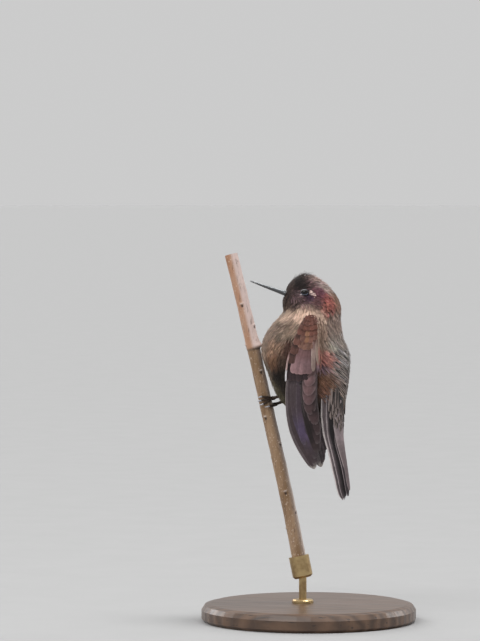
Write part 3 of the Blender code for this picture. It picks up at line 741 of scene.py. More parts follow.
def growFeathers(name, look, slot, lines, normals, found, polar):
    count, steps = lines.shape[:2]
    lengths = np.linalg.norm(np.diff(lines, axis=1), axis=2).sum(1)
    heading = unit(np.gradient(lines, axis=1))
    across = unit(np.cross(normals, heading))
    t = np.linspace(0, 1, steps)[None]
    depth = featherMake["rootDepth"] * lengths[:, None]
    rise = -depth * (1 - t) ** 1.2 - featherMake["seat"] + (found["lift"] * found["shag"])[:, None] * t**2
    lines = lines + normals * rise[:, :, None]
    loose = found["loose"][:, None]
    along = np.clip(template[None, :, 0] + template[None, :, 3] * loose, 0, 1.06)
    wide = blend(template[None, :, 1], template[None, :, 2], loose)
    pointed = featherMake["pointed"] * (1 - 1 / found["stretch"][:, None])
    wide = wide * (1 - pointed * np.clip(along, 0, 1) ** 2)
    at = np.clip(along, 0, 1) * (steps - 1)
    half = found["half"][:, None]
    beyond = np.maximum(along - 1, 0)[:, :, None] * lengths[:, None, None]
    height = template[None, :, 4] * featherMake["thick"] - featherMake["arch"] * wide**2 * half
    points = sampled(lines, at) + sampled(heading, at) * beyond
    points = points + sampled(across, at) * (wide * half)[:, :, None]
    points = points + sampled(normals, at) * height[:, :, None]
    faces = templateFaces[None] + (np.arange(count) * len(template))[:, None, None]
    vane = np.stack((0.5 + 0.5 * template[None, :, 1] + 0 * along, along * 0.94), 2)
    root = fitChart(chart(lines[:, 0], headCentre if polar else bodyAxis, polar))
    bake = root[:, None] + (vane - 0.5) * onMap
    tint = np.repeat(found["tint"][:, None], len(template), 1)
    marks = np.stack([found[key] for key in ("rim", "core", "gloss", "odd")], 1)
    marks = np.repeat(marks[:, None], len(template), 1)
    bundle = Bundle()
    bundle.add(points, [faces.reshape(-1, 3)], vane=vane.reshape(-1, 2), OFBake=bake.reshape(-1, 2),
               tint=tint.reshape(-1, 3), marks=marks.reshape(-1, 4))
    print(f"{name}: {count} feathers, {faces.shape[0] * faces.shape[1]} triangles")
    return finishPiece(bundle.build(name, look), slot)


plumageMake = {
    "tries": 11.2,  # places tried for the room of one feather
    "turn": 9.0,  # degrees by which a feather strays from the lie
    "sizeSpread": 0.12, "tintGain": 0.80, "warmth": 0.1,
    "ragged": 0.22,  # how far a feather may take its colour from
    "shag": 1.6,  # the most by which a lifted tip stands up, for the lift
    "eyeClear": (1.60, 1.14),
    "billClear": 1.25, "billRoot": (-8.2, 0.0, 0.15), "billAlong": (-15.3, 0.0, 5.45),
    "lowest": 74.5,  # roots stop above the body's end
    "pastEnd": 77.0, "downward": -0.3,  # below here, where the form turns under, feathers run on straight
    "leastSteps": 4, "cutSlim": 0.45,  # of a feather that ends early
    "seamHeight": 119.4, "seamSlope": 0.19, "seamAt": 1.0,  # between head and neck: it falls backwards
    "crownAbove": 0.5, "bellyBelow": 100.0,
}


def scatterRoots(points, faces):
    # even but random places over the form, further apart along the lie than across it
    corners = np.array([f[:3] for f in faces] + [(f[0], f[2], f[3]) for f in faces if len(f) > 3])
    a, b, c = (points[corners[:, k]] for k in range(3))
    across = np.cross(b - a, c - a)
    areas = np.linalg.norm(across, axis=1) / 2
    found = plumageAt((a + b + c) / 3)
    dense = areas / (found["gap"] ** 2 * found["stretch"])
    tries = int(dense.sum() * plumageMake["tries"])
    chosen = chance.choice(len(corners), tries, p=dense / dense.sum())
    u, v = chance.random(tries), chance.random(tries)
    over = u + v > 1
    u[over], v[over] = 1 - u[over], 1 - v[over]
    spots = a[chosen] + u[:, None] * (b - a)[chosen] + v[:, None] * (c - a)[chosen]
    gaps, stretch = found["gap"][chosen], found["stretch"][chosen]
    lies = tangent(found["lie"], unit(across))[chosen]
    tree = KDTree(tries)
    for i, spot in enumerate(spots):
        tree.insert(spot, i)
    tree.balance()
    free, kept = np.ones(tries, bool), []
    for i in range(tries):
        if free[i]:
            kept.append(i)
            near = np.array([j for _, j, _ in tree.find_range(spots[i], gaps[i] * stretch[i])])
            away = spots[near] - spots[i]
            along = away @ lies[i]
            aside = (away**2).sum(1) - along**2
            close = aside / gaps[i] ** 2 + (along / (gaps[i] * stretch[i])) ** 2 < 1
            free[near[close]] = False
    return spots[kept]


def distanceToLine(points, start, along):
    away = points - start
    reach = (away * along).sum(-1, keepdims=True)
    return np.linalg.norm(away - reach * along, axis=-1), reach[..., 0]


eyeMake = {
    "forward": 0.22, "up": 0.08,  # of its axis, for 1 to the side
    "half": (1.34, 0.90), "lidOuter": (1.85, 1.40),  # of the opening, and of the lids round it
    "lidOver": 0.02, "lidRise": 0.12, "lidFall": 0.45, "lidThick": 0.25, "rim": 0.10, "fold": 0.02,
    "ballInset": 0.05, "ballSink": 0.5, "cornea": 0.2, "tilt": 2.0,
    "ballRows": 40, "ballAround": 56, "lidRows": 12, "lidAround": 64,
    "pupil": (0.002, 0.002, 0.003), "iris": (0.014, 0.008, 0.006),
    "irisFrom": (0.30, 0.36, 0.66, 0.72),  # angles from the axis between which it comes in and goes out
    # the lids: dark skin, a grey-blue band below, and a pale painted highlight on the upper rim
    "skin": (0.030, 0.024, 0.028), "skinUnder": (0.15, 0.16, 0.22), "paintedCrescent": (0.50, 0.49, 0.50),
}


def eyeAxis(side):
    return unit(np.array((-eyeMake["forward"], side, eyeMake["up"])) @ headAxes)


def blockedBy(points):
    # how far inside the room of the eyes or the bill a point is; above zero is blocked
    worst = np.full(points.shape[:-1], outside)
    for label, side in sides.items():
        away = points - middle("eye_" + label)
        wide, tall = plumageMake["eyeClear"]
        near = np.hypot(away @ headBack / wide, away @ up / tall)
        worst = np.maximum(worst, np.where(away @ eyeAxis(side) > 0, (1 - near) * tall, outside))
    along = unit(np.array(plumageMake["billAlong"]) @ headAxes)
    near, reach = distanceToLine(points, fromHead(plumageMake["billRoot"]), along)
    return np.maximum(worst, np.where(reach > -0.5, plumageMake["billClear"] - near, outside))


def layPlumage(tree, points, faces):
    roots = scatterRoots(points, faces)
    roots = roots[(insideWing(roots) < 0.0) & (blockedBy(roots) < 0.0) & (overTail(roots) < 0.0)]
    roots = roots[roots[:, 2] > plumageMake["lowest"]]
    count = len(roots)
    found = plumageAt(roots + plumageMake["ragged"] * chance.standard_normal((count, 3)))
    size = 1 + plumageMake["sizeSpread"] * chance.standard_normal(count)
    found["half"] = featherMake["width"] * found["gap"] * found["slim"] * size
    longer = featherMake["length"] + featherMake["stretched"] * (found["stretch"] - 1)
    lengths = longer * found["gap"] * size
    turns = np.radians(plumageMake["turn"]) * chance.standard_normal(count) / np.sqrt(found["stretch"])
    found["shag"] = plumageMake["shag"] * chance.random(count) ** 1.5
    found["odd"] = chance.random(count)
    strays = 1 + found["spread"][:, None] * chance.standard_normal((count, 1))
    warm = 1 + plumageMake["warmth"] * found["spread"][:, None] * chance.standard_normal((count, 3))
    found["tint"] = np.clip(found["tint"] * strays * warm * plumageMake["tintGain"], 0.004, 0.8)
    lines, faceNormals = layLines(tree, roots, lengths, turns)
    # a feather ends where it would lie over the bare wing, the eye or the bill
    steps = featherMake["steps"]
    flat = lines.reshape(-1, 3)
    nearTop = ease(*archMake["clearAbove"], flat[:, 2]) * ease(*archMake["clearBehind"], flat[:, 0])
    overlap = archMake["overlap"] - archMake["clearTop"] * nearTop
    over = (insideWing(flat) > overlap) | (blockedBy(flat) > 0.0) | (overTail(flat) > 0.0)
    over = over.reshape(count, steps)
    whole = np.where(over.any(1), over.argmax(1), steps) - 1
    kept = whole >= plumageMake["leastSteps"]
    at = np.linspace(0, 1, steps)[None] * whole[:, None]
    lines, faceNormals = sampled(lines, at), unit(sampled(faceNormals, at))
    found["half"] *= 1 - plumageMake["cutSlim"] * (1 - whole / (steps - 1))
    return lines[kept], faceNormals[kept], {key: value[kept] for key, value in found.items()}


def skinLook():
    look = Look("down under the plumage")
    tint = look.layer("tint")
    fine = look.noise(2600.0, 4.0, 0.7, look.place((1, 1, 0.3)))
    shade = look.mix((0.55, 0.55, 0.55), (1.15, 1.1, 1.05), look.fade(fine, 0.3, 0.7))
    look.set("Base Color", look.mix(tint, shade, 1.0, "MULTIPLY"))
    look.set("Roughness", fine * 0.2 + 0.7)
    look.bump(fine, 0.08)
    return look.material


def makeSkin(points, normals, faces):
    depth = blend(formMake["bodyDepth"], formMake["headDepth"], ease(*formMake["neck"], points[:, 2]))
    end = formMake["skinEnd"]
    depth += formMake["endDepth"] * ease(end + formMake["endAbove"], end, points[:, 2])
    inside = points - normals * depth[:, None]
    core = points[np.abs(points[:, 2] - end) < 1.0].mean(0) * np.array((1.0, 0.0, 0.0))
    drawn = formMake["endDrawn"] * ease(end + 0.5, end - 0.5, inside[:, 2])[:, None]
    inside = inside + (core - inside * np.array((1.0, 1.0, 0.0))) * drawn
    below = end + (inside[:, 2] - end) * formMake["endFlat"]
    inside[:, 2] = np.where(inside[:, 2] < end, below, inside[:, 2])
    data = bpy.data.meshes.new("skin")
    data.from_pydata(list(inside * mm), [], faces)
    data.shade_smooth()
    tint = plumageAt(points)["tint"] * formMake["shade"]
    addLook(data, skinLook(), tint=tint, OFBake=fitChart(chart(points, bodyAxis, False)))
    return finishPiece(newObject("skin", data), "body_plumage", *flesh)


formPoints, formNormals, formFaces = bodyForm("form", flesh + armNodes + ("eye_left", "eye_right"))
formTree = BVHTree.FromPolygons([Vector(p) * mm for p in formPoints], formFaces)
print(f"body form: {len(formPoints)} points")
makeSkin(formPoints, formNormals, formFaces)
lines, lineNormals, found = layPlumage(formTree, formPoints, formFaces)
bodyLook = plumageLook("soft body plumage", "body")
faceLook = plumageLook("short face plumage", "face")
rootX, _, rootZ = lines[:, 0].T
seam = plumageMake["seamHeight"] - plumageMake["seamSlope"] * (rootX - plumageMake["seamAt"])
onHead, inFront = rootZ > seam, rootX < 0
onCrown = toHead(lines[:, 0])[:, 2] > plumageMake["crownAbove"]
onBreast = rootZ > plumageMake["bellyBelow"]
zones = {
    "plumage_crown": (onHead & onCrown, faceLook, "face_plumage"),
    "plumage_face": (onHead & ~onCrown, faceLook, "face_plumage"),
    "plumage_breast": (~onHead & inFront & onBreast, bodyLook, "body_plumage"),
    "plumage_belly": (~onHead & inFront & ~onBreast, bodyLook, "body_plumage"),
    "plumage_back": (~onHead & ~inFront, bodyLook, "body_plumage"),
}
for name, (chosen, look, slot) in zones.items():
    part = {key: value[chosen] for key, value in found.items()}
    growFeathers(name, look, slot, lines[chosen], lineNormals[chosen], part, look is faceLook)


# Flight feathers and coverts: solid vanes laid on a face

vaneColumns = np.array((-1.0, -0.92, -0.62, -0.3, 0.0, 0.3, 0.62, 0.92, 1.0))
vaneMake = {"rows": 22, "thick": 0.08, "shaft": 0.07, "shaftWide": 0.12, "camber": 0.16,
            "fringe": (0.55, 0.50, 0.46)}


def addVane(bundle, place, flip, line, half, rise, tint, marks, cell, camber=vaneMake["camber"]):
    # line: (across, along) points of the shaft; half: widths of the leading and the trailing web
    count, columns = len(line), len(vaneColumns)
    heading = unit(np.gradient(line, axis=0))
    across = np.stack((-heading[:, 1], heading[:, 0]), 1)
    wide = np.where(vaneColumns[None] < 0, half[0][:, None], half[1][:, None])
    flat = line[:, None] + across[:, None] * (vaneColumns[None] * wide)[:, :, None]
    height = rise[:, None] - camber * wide * vaneColumns[None] ** 2
    ridge = vaneMake["shaft"] * np.exp(-((vaneColumns / vaneMake["shaftWide"]) ** 2))
    layers = []
    for turn in (1, -1):
        lift = height + turn * vaneMake["thick"] / 2 + (ridge if turn > 0 else 0)
        layers.append(place(flat[..., 0], flat[..., 1], lift).reshape(-1, 3))
    index = np.arange(count * columns).reshape(count, columns)
    top = np.stack((index[:-1, :-1], index[1:, :-1], index[1:, 1:], index[:-1, 1:]), 2).reshape(-1, 4)
    under = top[:, ::-1] + count * columns
    rim = np.concatenate((index[0, ::-1], index[1:, 0], index[-1, 1:], index[-2::-1, -1]))
    beyond = np.roll(rim, -1)
    wall = np.stack((rim, rim + count * columns, beyond + count * columns, beyond), 1)
    wall = wall[rim != beyond]
    faces = np.concatenate((top, under, wall))
    t = np.linspace(0, 1, count)
    u = 0.5 + 0.5 * vaneColumns
    vane = onEach(u[None], t[:, None])
    bake = np.array(cell[:2]) + vane * (np.array(cell[2:]) - np.array(cell[:2]))
    doubled = {"vane": np.tile(vane, (2, 1)), "OFBake": np.tile(bake, (2, 1)),
               "tint": np.tile(np.clip(tint, 0.003, 0.9).reshape(-1, 3), (2, 1)),
               "marks": np.tile(np.array(marks, float), (count * columns * 2, 1))}
    bundle.add(np.concatenate(layers), [faces[:, ::-1] if flip else faces], **doubled)


def vaneRows(count, crowd=1.5):
    return 1 - (1 - np.linspace(0, 1, count)) ** crowd


def vaneWidth(t, length, half, blunt):
    # narrow at the quill, full along the middle, and rounded or drawn out to its tip
    start = 1 - np.clip(half * blunt / length, 0.05, 0.75)
    tip = np.sqrt(np.clip(1 - np.clip((t - start) / (1 - start), 0, 1) ** 2, 0, 1))
    return half * (0.35 + 0.65 * ease(0.0, 0.3, t)) * np.maximum(tip, 0.03)


def cells(number, columns, rows):
    # the place of a vane on the map, one of a grid of strips
    i, j = number % columns, number // columns
    return ((i + 0.06) / columns, (j + 0.03) / rows, (i + 0.94) / columns, (j + 0.97) / rows)


def shadeVane(t, length, finish):
    # bare colour towards the tip, and its base tint where the next feather covers it, on most feathers a
    # painted shadow; with its webs and rim; violet is a band's distance from the tip, its reach and its
    # colour
    away = ((1 - t) * length)[:, None, None]
    u = vaneColumns[None, :, None]
    reach = finish.get("shown", length)
    cover = ease(reach * 0.55, reach, away)
    colour = blend(np.array(finish["tint"]), finish.get("base", finish["tint"]), cover)
    # darker trailing web; on the tail, where it is strongest, partly painted shadow under the next feather
    colour = colour * (1 - finish.get("inner", 0.25) * ease(0.1, 0.8, u))
    fringe = finish.get("fringe", 0.0) * ease(0.8, 0.3, away) * ease(-0.9, -0.2, u)
    colour = blend(colour, vaneMake["fringe"], fringe)
    if "violet" in finish:
        centre, reach, violet = finish["violet"]
        colour = blend(colour, violet, np.exp(-(((away - centre) / reach) ** 2)) * (u < 0.5))
    if "edge" in finish:
        start = finish.get("edgeFrom", 0.75)
        colour = blend(colour, finish["edge"], finish.get("edgeShare", 0.7) * ease(start, start + 0.18, -u))
    return colour * np.ones((1, len(vaneColumns), 1))


wingMake = {
    "quillTop": 103.0, "topStep": 0.15,  # of the first quill's root, and from each quill to the next
    "deepest": 1.55, "deepestTip": 0.45,  # of the lowest vane below the outer face
    "seat": 0.12,  # of the topmost vane below the outer face
    "underCoverts": 0.55, "underFrom": (93.6, 97.0), "deepFrom": (62.0, 97.0),
    # how many quills show whole; on the others, the length of the bare tip, and the painted shade above it
    "bare": 5, "shown": 5.2, "paintedShadowShare": 0.42,
    "camber": 0.07, "blunt": 2.2, "rootSunk": 0.3,
    "covertBlunt": 1.15, "covertSpread": 0.06, "covertTint": 0.12, "covertStray": 0.15, "covertShown": 0.62,
    "narrowBlunt": 3.0, "mapColumns": 9,
}
pale = (0.40, 0.33, 0.30)


def wingQuill(root, tip, late, end, half, tint, **more):
    # share of the chord at its root and its tip, how late it turns there, height of its tip, and webs
    return {"root": root, "tip": tip, "late": late, "end": end, "half": half, "tint": tint, **more}


def covertRow(count, root, tip, end, bow, length, half, tint, rim, **more):
    # how many feathers, the chord shares of the outer two at their roots and tips, the height of the
    # tips and how far they bow, then the length and half the width of a feather, and its looks
    return {"count": count, "root": root, "tip": tip, "end": end, "bow": bow, "length": length,
            "half": half, "tint": tint, "rim": rim, **more}


primaries = [
    wingQuill(0.05, 0.36, 4.0, 60.2, (0.62, 3.0), (0.100, 0.078, 0.083), edge=pale, fringe=0.8),
    wingQuill(0.12, 0.56, 3.5, 60.0, (1.2, 3.0), (0.054, 0.037, 0.040), edge=(0.15, 0.125, 0.13),
              fringe=0.9),
    wingQuill(0.22, 0.70, 3.0, 61.4, (1.4, 3.0), (0.068, 0.047, 0.052), fringe=0.3,
              violet=(14.0, 5.0, (0.085, 0.062, 0.105))),
    wingQuill(0.33, 0.74, 2.5, 64.0, (1.6, 3.0), (0.055, 0.038, 0.042),
              violet=(11.6, 5.0, (0.105, 0.074, 0.138))),
    wingQuill(0.43, 0.47, 1.3, 69.4, (1.6, 2.8), (0.070, 0.048, 0.060),
              violet=(5.6, 4.5, (0.110, 0.078, 0.145))),
    wingQuill(0.50, 0.84, 2.0, 66.4, (1.8, 2.6), (0.048, 0.030, 0.031)),
    wingQuill(0.56, 0.88, 2.0, 69.8, (2.1, 2.4), (0.052, 0.032, 0.034)),
    wingQuill(0.61, 0.90, 1.7, 73.4, (2.2, 2.3), (0.060, 0.036, 0.038)),
    wingQuill(0.65, 0.86, 1.5, 77.4, (2.3, 2.4), (0.072, 0.042, 0.044)),
    wingQuill(0.67, 0.74, 1.3, 81.4, (2.4, 3.0), (0.085, 0.050, 0.052)),
]
secondaries = [
    wingQuill(0.66, 0.70, 1.3, 85.2, (2.3, 3.2), (0.150, 0.086, 0.090)),
    wingQuill(0.66, 0.69, 1.3, 88.9, (2.3, 3.3), (0.170, 0.098, 0.100)),
    wingQuill(0.67, 0.68, 1.3, 92.6, (2.3, 3.4), (0.185, 0.105, 0.108)),
    wingQuill(0.68, 0.70, 1.3, 95.8, (2.3, 3.2), (0.150, 0.085, 0.086)),
]
coverts = [  # from the lowest row up
    # the lowest row's dark tint is partly these feathers' own and partly painted shadow under the greater
    # coverts
    covertRow(6, (0.12, 0.66), (0.05, 0.62), 94.6, 0.3, 12.0, 1.0, (0.040, 0.025, 0.028), 0.1, under=0.3),
    covertRow(5, (0.34, 0.66), (0.21, 0.66), 97.4, 0.5, 12.0, 1.5, (0.260, 0.155, 0.162), 0.2,
              base=(0.17, 0.09, 0.09)),
    covertRow(4, (0.12, 0.24), (0.10, 0.22), 101.5, 0.3, 6.0, 0.95, (0.085, 0.042, 0.036), 0.15),
    covertRow(3, (0.10, 0.24), (0.09, 0.24), 105.0, 0.3, 5.0, 1.0, (0.12, 0.052, 0.040), 0.15),
    covertRow(4, (0.38, 0.72), (0.32, 0.72), 106.8, 0.7, 6.0, 1.45, (0.190, 0.096, 0.070), 0.25),
    covertRow(4, (0.12, 0.42), (0.10, 0.42), 108.6, 0.3, 5.0, 1.15, (0.13, 0.055, 0.040), 0.2),
    covertRow(4, (0.36, 0.78), (0.34, 0.78), 109.8, 0.6, 5.0, 1.35, (0.170, 0.078, 0.058), 0.2,
              warm=(1, (0.27, 0.130, 0.075))),
    covertRow(5, (0.16, 0.80), (0.14, 0.80), 112.2, 0.5, 4.4, 1.2, (0.135, 0.052, 0.037), 0.2,
              warm=(2, (0.25, 0.120, 0.070))),
    covertRow(5, (0.20, 0.80), (0.18, 0.80), 114.3, 0.5, 4.0, 1.05, (0.120, 0.043, 0.029), 0.15,
              under=-0.2),
    covertRow(4, (0.24, 0.78), (0.22, 0.78), 116.2, 0.4, 3.6, 1.0, (0.115, 0.040, 0.027), 0.15, under=-0.2),
    covertRow(4, (0.28, 0.76), (0.26, 0.76), 117.9, 0.3, 3.2, 0.85, (0.110, 0.038, 0.026), 0.15,
              under=-0.2),
    covertRow(3, (0.34, 0.72), (0.32, 0.72), 119.2, 0.2, 2.6, 0.75, (0.095, 0.034, 0.024), 0.15,
              under=-0.2),
]
narrowFeathers = [
    # the pink and the white edge of the bent wing, the white partly a pale feather edge and partly a
    # painted highlight, and the two pale tertials at its back
    {"root": 0.015, "tip": 0.020, "top": 106.0, "end": 98.6, "half": (0.22, 0.40),
     "tint": (0.52, 0.36, 0.34), "base": (0.20, 0.10, 0.09)},
    {"root": 0.010, "tip": 0.022, "top": 101.0, "end": 94.4, "half": (0.25, 0.42),
     "tint": (0.85, 0.82, 0.84), "base": (0.50, 0.35, 0.33)},
    {"root": 0.74, "tip": 0.80, "top": 110.0, "end": 98.4, "half": (0.8, 0.8),
     "tint": (0.29, 0.21, 0.185), "base": (0.16, 0.09, 0.08), "edge": pale},
    {"root": 0.84, "tip": 0.93, "top": 111.0, "end": 101.0, "half": (0.8, 0.75),
     "tint": (0.31, 0.225, 0.18), "base": (0.17, 0.10, 0.08), "edge": pale},
]


def wingPlace(x, z, rise):
    return np.stack((x, wingSurface(x, z) - rise, z), -1)


def chordLine(root, tip, top, end, t, late=1.3):
    z = top + (end - top) * t
    lead, trail = wingEdges(z)
    share = root + (tip - root) * t**late
    return np.stack((lead + share * (trail - lead), z), 1)


def sink(z, layer, layers):
    deep = blend(wingMake["deepestTip"], wingMake["deepest"], ease(*wingMake["deepFrom"], z))
    under = wingMake["underCoverts"] * ease(*wingMake["underFrom"], z)
    return -wingMake["seat"] - under - deep * layer / layers


def sided(place, flip):
    # a function that gives places on the left, or its mirror image for the right
    def mirrored(across, along, rise):
        return place(across, along, rise) * np.array((1.0, -1.0, 1.0))
    return mirrored if flip else place


def makeQuills(label, look):
    flip = label == "right"
    place, t = sided(wingPlace, flip), vaneRows(vaneMake["rows"])
    layers, laid = len(primaries) + len(secondaries), 0
    for part, group in (("primaries", primaries), ("secondaries", secondaries)):
        bundle = Bundle()
        for number, quill in enumerate(group):
            top = wingMake["quillTop"] + wingMake["topStep"] * laid
            length = top - quill["end"]
            line = chordLine(quill["root"], quill["tip"], top, quill["end"], t, quill["late"])
            half = [vaneWidth(t, length, wide, wingMake["blunt"]) for wide in quill["half"]]
            # the base tint is a painted shadow where the quill above covers this one
            base = wingMake["paintedShadowShare"] * np.array(quill["tint"])
            shown = length * 2 if laid < wingMake["bare"] else wingMake["shown"]
            tint = shadeVane(t, length, {"base": base, "shown": shown, **quill})
            laid += 1
            rise = sink(line[:, 1], layers - laid, layers) - wingMake["rootSunk"] * (1 - t) ** 2
            marks = (0.12, 0.0, 0.12, chance.random())
            cell = cells(number, len(group), 1)
            addVane(bundle, place, flip, line, half, rise, tint, marks, cell, wingMake["camber"])
        finishPiece(bundle.build(f"{part}_{label}", look), "flight_feathers", f"wing_{label}_{part}")


def makeCoverts(label, look):
    flip = label == "right"
    place, bundle, number = sided(wingPlace, flip), Bundle(), 0
    total = sum(row["count"] for row in coverts) + len(narrowFeathers)
    mapRows = -(-total // wingMake["mapColumns"])
    t = vaneRows(12)
    for order, row in enumerate(coverts):
        for k in range(row["count"]):
            share = k / (row["count"] - 1)
            root, tip = (row[key][0] + (row[key][1] - row[key][0]) * share for key in ("root", "tip"))
            end = row["end"] + row["bow"] * (4 * (share - 0.5) ** 2 - 0.5)
            end += wingMake["covertStray"] * chance.standard_normal()
            top = min(end + row["length"], wingTop - 0.4)
            line = chordLine(root, tip, top, end, t)
            wide = row["half"] * (1 + wingMake["covertSpread"] * chance.standard_normal())
            half = vaneWidth(t, top - end, wide, wingMake["covertBlunt"])
            chosen, warmer = row.get("warm", (-1, None))
            tint = np.array(warmer if k == chosen else row["tint"])
            tint = tint * (1 + wingMake["covertTint"] * chance.standard_normal())
            # the base tint, 0.4 of the tint unless listed, is a painted shadow where the next feather covers
            # it
            shade = {"tint": tint, "base": row.get("base", 0.4 * tint), "inner": 0.1,
                     "shown": wingMake["covertShown"] * row["length"]}
            over = 0.1 * (share if order else 1 - share)  # each feather lies over its neighbour's edge
            rise = -0.55 + 0.45 * t - over - row.get("under", 0.0)
            addVane(bundle, place, flip, line, (half, half), rise, shadeVane(t, top - end, shade),
                    (row["rim"], 0.1, 0.1, chance.random()), cells(number, wingMake["mapColumns"], mapRows))
            number += 1
    t = vaneRows(16)
    for quill in narrowFeathers:
        line = chordLine(quill["root"], quill["tip"], quill["top"], quill["end"], t)
        length = quill["top"] - quill["end"]
        half = [vaneWidth(t, length, wide, wingMake["narrowBlunt"]) for wide in quill["half"]]
        tint = shadeVane(t, length, {"shown": length, "inner": 0.1, **quill})
        addVane(bundle, place, flip, line, half, 0.05 - 0.3 * (1 - t), tint,
                (0.2, 0.0, 0.08, chance.random()), cells(number, wingMake["mapColumns"], mapRows))
        number += 1
    finishPiece(bundle.build(f"coverts_{label}", look), "wing_coverts", f"wing_{label}_coverts")
    print(f"wing {label}: {len(primaries) + len(secondaries)} quills, {number} coverts")


quillLook = plumageLook("flight feather webs", "quill")
covertLook = plumageLook("wing covert webs", "covert")
for label in sides:
    makeQuills(label, quillLook)
    makeCoverts(label, covertLook)


# Tail: folded like a roof, its outer feathers the longest

tailFeathers = [
    # from the outermost in: its outer edge as a share of the side's width, where it starts down the
    # ridge, its length past the ridge as a share of the fork, how far it stacks up on the one outside
    # it, the two webs, and the looks
    {"share": 1.0, "start": -3.6, "past": 1.0, "stacked": 0.0, "half": (1.1, 2.6),
     "tint": (0.150, 0.118, 0.124), "edge": (0.80, 0.72, 0.70), "edgeFrom": 0.45},
    {"share": 0.78, "start": -2.6, "past": 0.85, "stacked": 0.3, "half": (0.8, 2.6),
     "tint": (0.100, 0.078, 0.083), "edge": (0.60, 0.52, 0.52), "edgeFrom": 0.55},
    # the third one's near-black is partly its dark web and partly painted shadow between the feathers
    {"share": 0.62, "start": 2.0, "past": 0.62, "stacked": 0.75, "half": (1.0, 2.4), "early": 0.1,
     "tint": (0.016, 0.012, 0.013), "edge": (0.022, 0.017, 0.018)},
    {"share": 0.46, "start": 9.0, "past": 0.62, "stacked": 1.2, "half": (1.0, 3.2),
     "tint": (0.034, 0.026, 0.029), "edge": (0.34, 0.28, 0.29)},
]
middlePair = {
    "half": (3.3, 1.5), "out": 1.55, "closer": 0.85, "tint": (0.160, 0.122, 0.125),
    "base": (0.330, 0.262, 0.272), "edge": (0.40, 0.33, 0.33), "inner": 0.1, "shown": 24.0,
    "at": (0.25, 0.47, 0.78, 1.0), "web": (1.0, 0.62, 0.26, 0.24),  # its outer web grows narrow downwards
}
tailCoverts = {
    # places of the tips, out from the ridge and down it, from the lowest row up
    "rows": (((0.8, 13.6), (2.0, 12.0), (3.2, 10.4), (4.3, 8.6), (5.3, 6.2), (6.2, 4.0)),
             ((0.3, 11.4), (1.4, 10.4), (2.6, 8.8), (3.8, 7.0), (4.8, 4.8), (5.8, 2.6)),
             ((0.8, 8.8), (2.0, 7.6), (3.2, 5.8), (4.3, 3.8), (5.4, 1.4)),
             ((0.3, 6.4), (1.4, 5.2), (2.6, 3.4), (3.8, 1.6))),
    "length": 8.0, "half": 0.72, "stray": (0.22, 0.45), "spread": 0.12, "shown": 3.6,
    # the base tint is a painted shadow where the coverts above cover each one
    "tint": (0.072, 0.054, 0.048), "base": (0.016, 0.012, 0.011),
    "edge": (0.27, 0.215, 0.195), "edgeFrom": 0.15, "edgeShare": 0.85,
}


def smoothAlong(values, times):
    for _ in range(times):
        values[1:-1] = (values[:-2] + values[1:-1] + values[2:]) / 3
    return values


def bodyOver(places, face):
    # how far the body stands above these places of the tail
    found, far = np.zeros(places.shape[:-1]), 12.0
    for spot in np.ndindex(found.shape):
        hit = formTree.ray_cast(Vector(places[spot] + face * far) * mm, Vector(-face), far * mm)[0]
        if hit:
            found[spot] = max(0.0, (np.array(hit) / mm - places[spot]) @ face - tailMake["sink"])
    return found


def measureTail(root, length, down, out):
    # how far the left side reaches from the ridge, by the length down it
    sheet = BVHTree.FromPolygons(*nodeFaces("tail_left"))
    known, reach = list(tailMake["along"][:4]), list(tailMake["outer"][:4])
    for level in np.linspace(tailMake["along"][4], length + tailMake["fork"], 14):
        hit = sheet.ray_cast(Vector(root + down * level + out * 20.0) * mm, Vector(-out))[0]
        if hit:
            known.append(level)
            reach.append(min((np.array(hit) / mm - root) @ out + tailMake["proud"], tailMake["outer"][4]))
    return known, reach


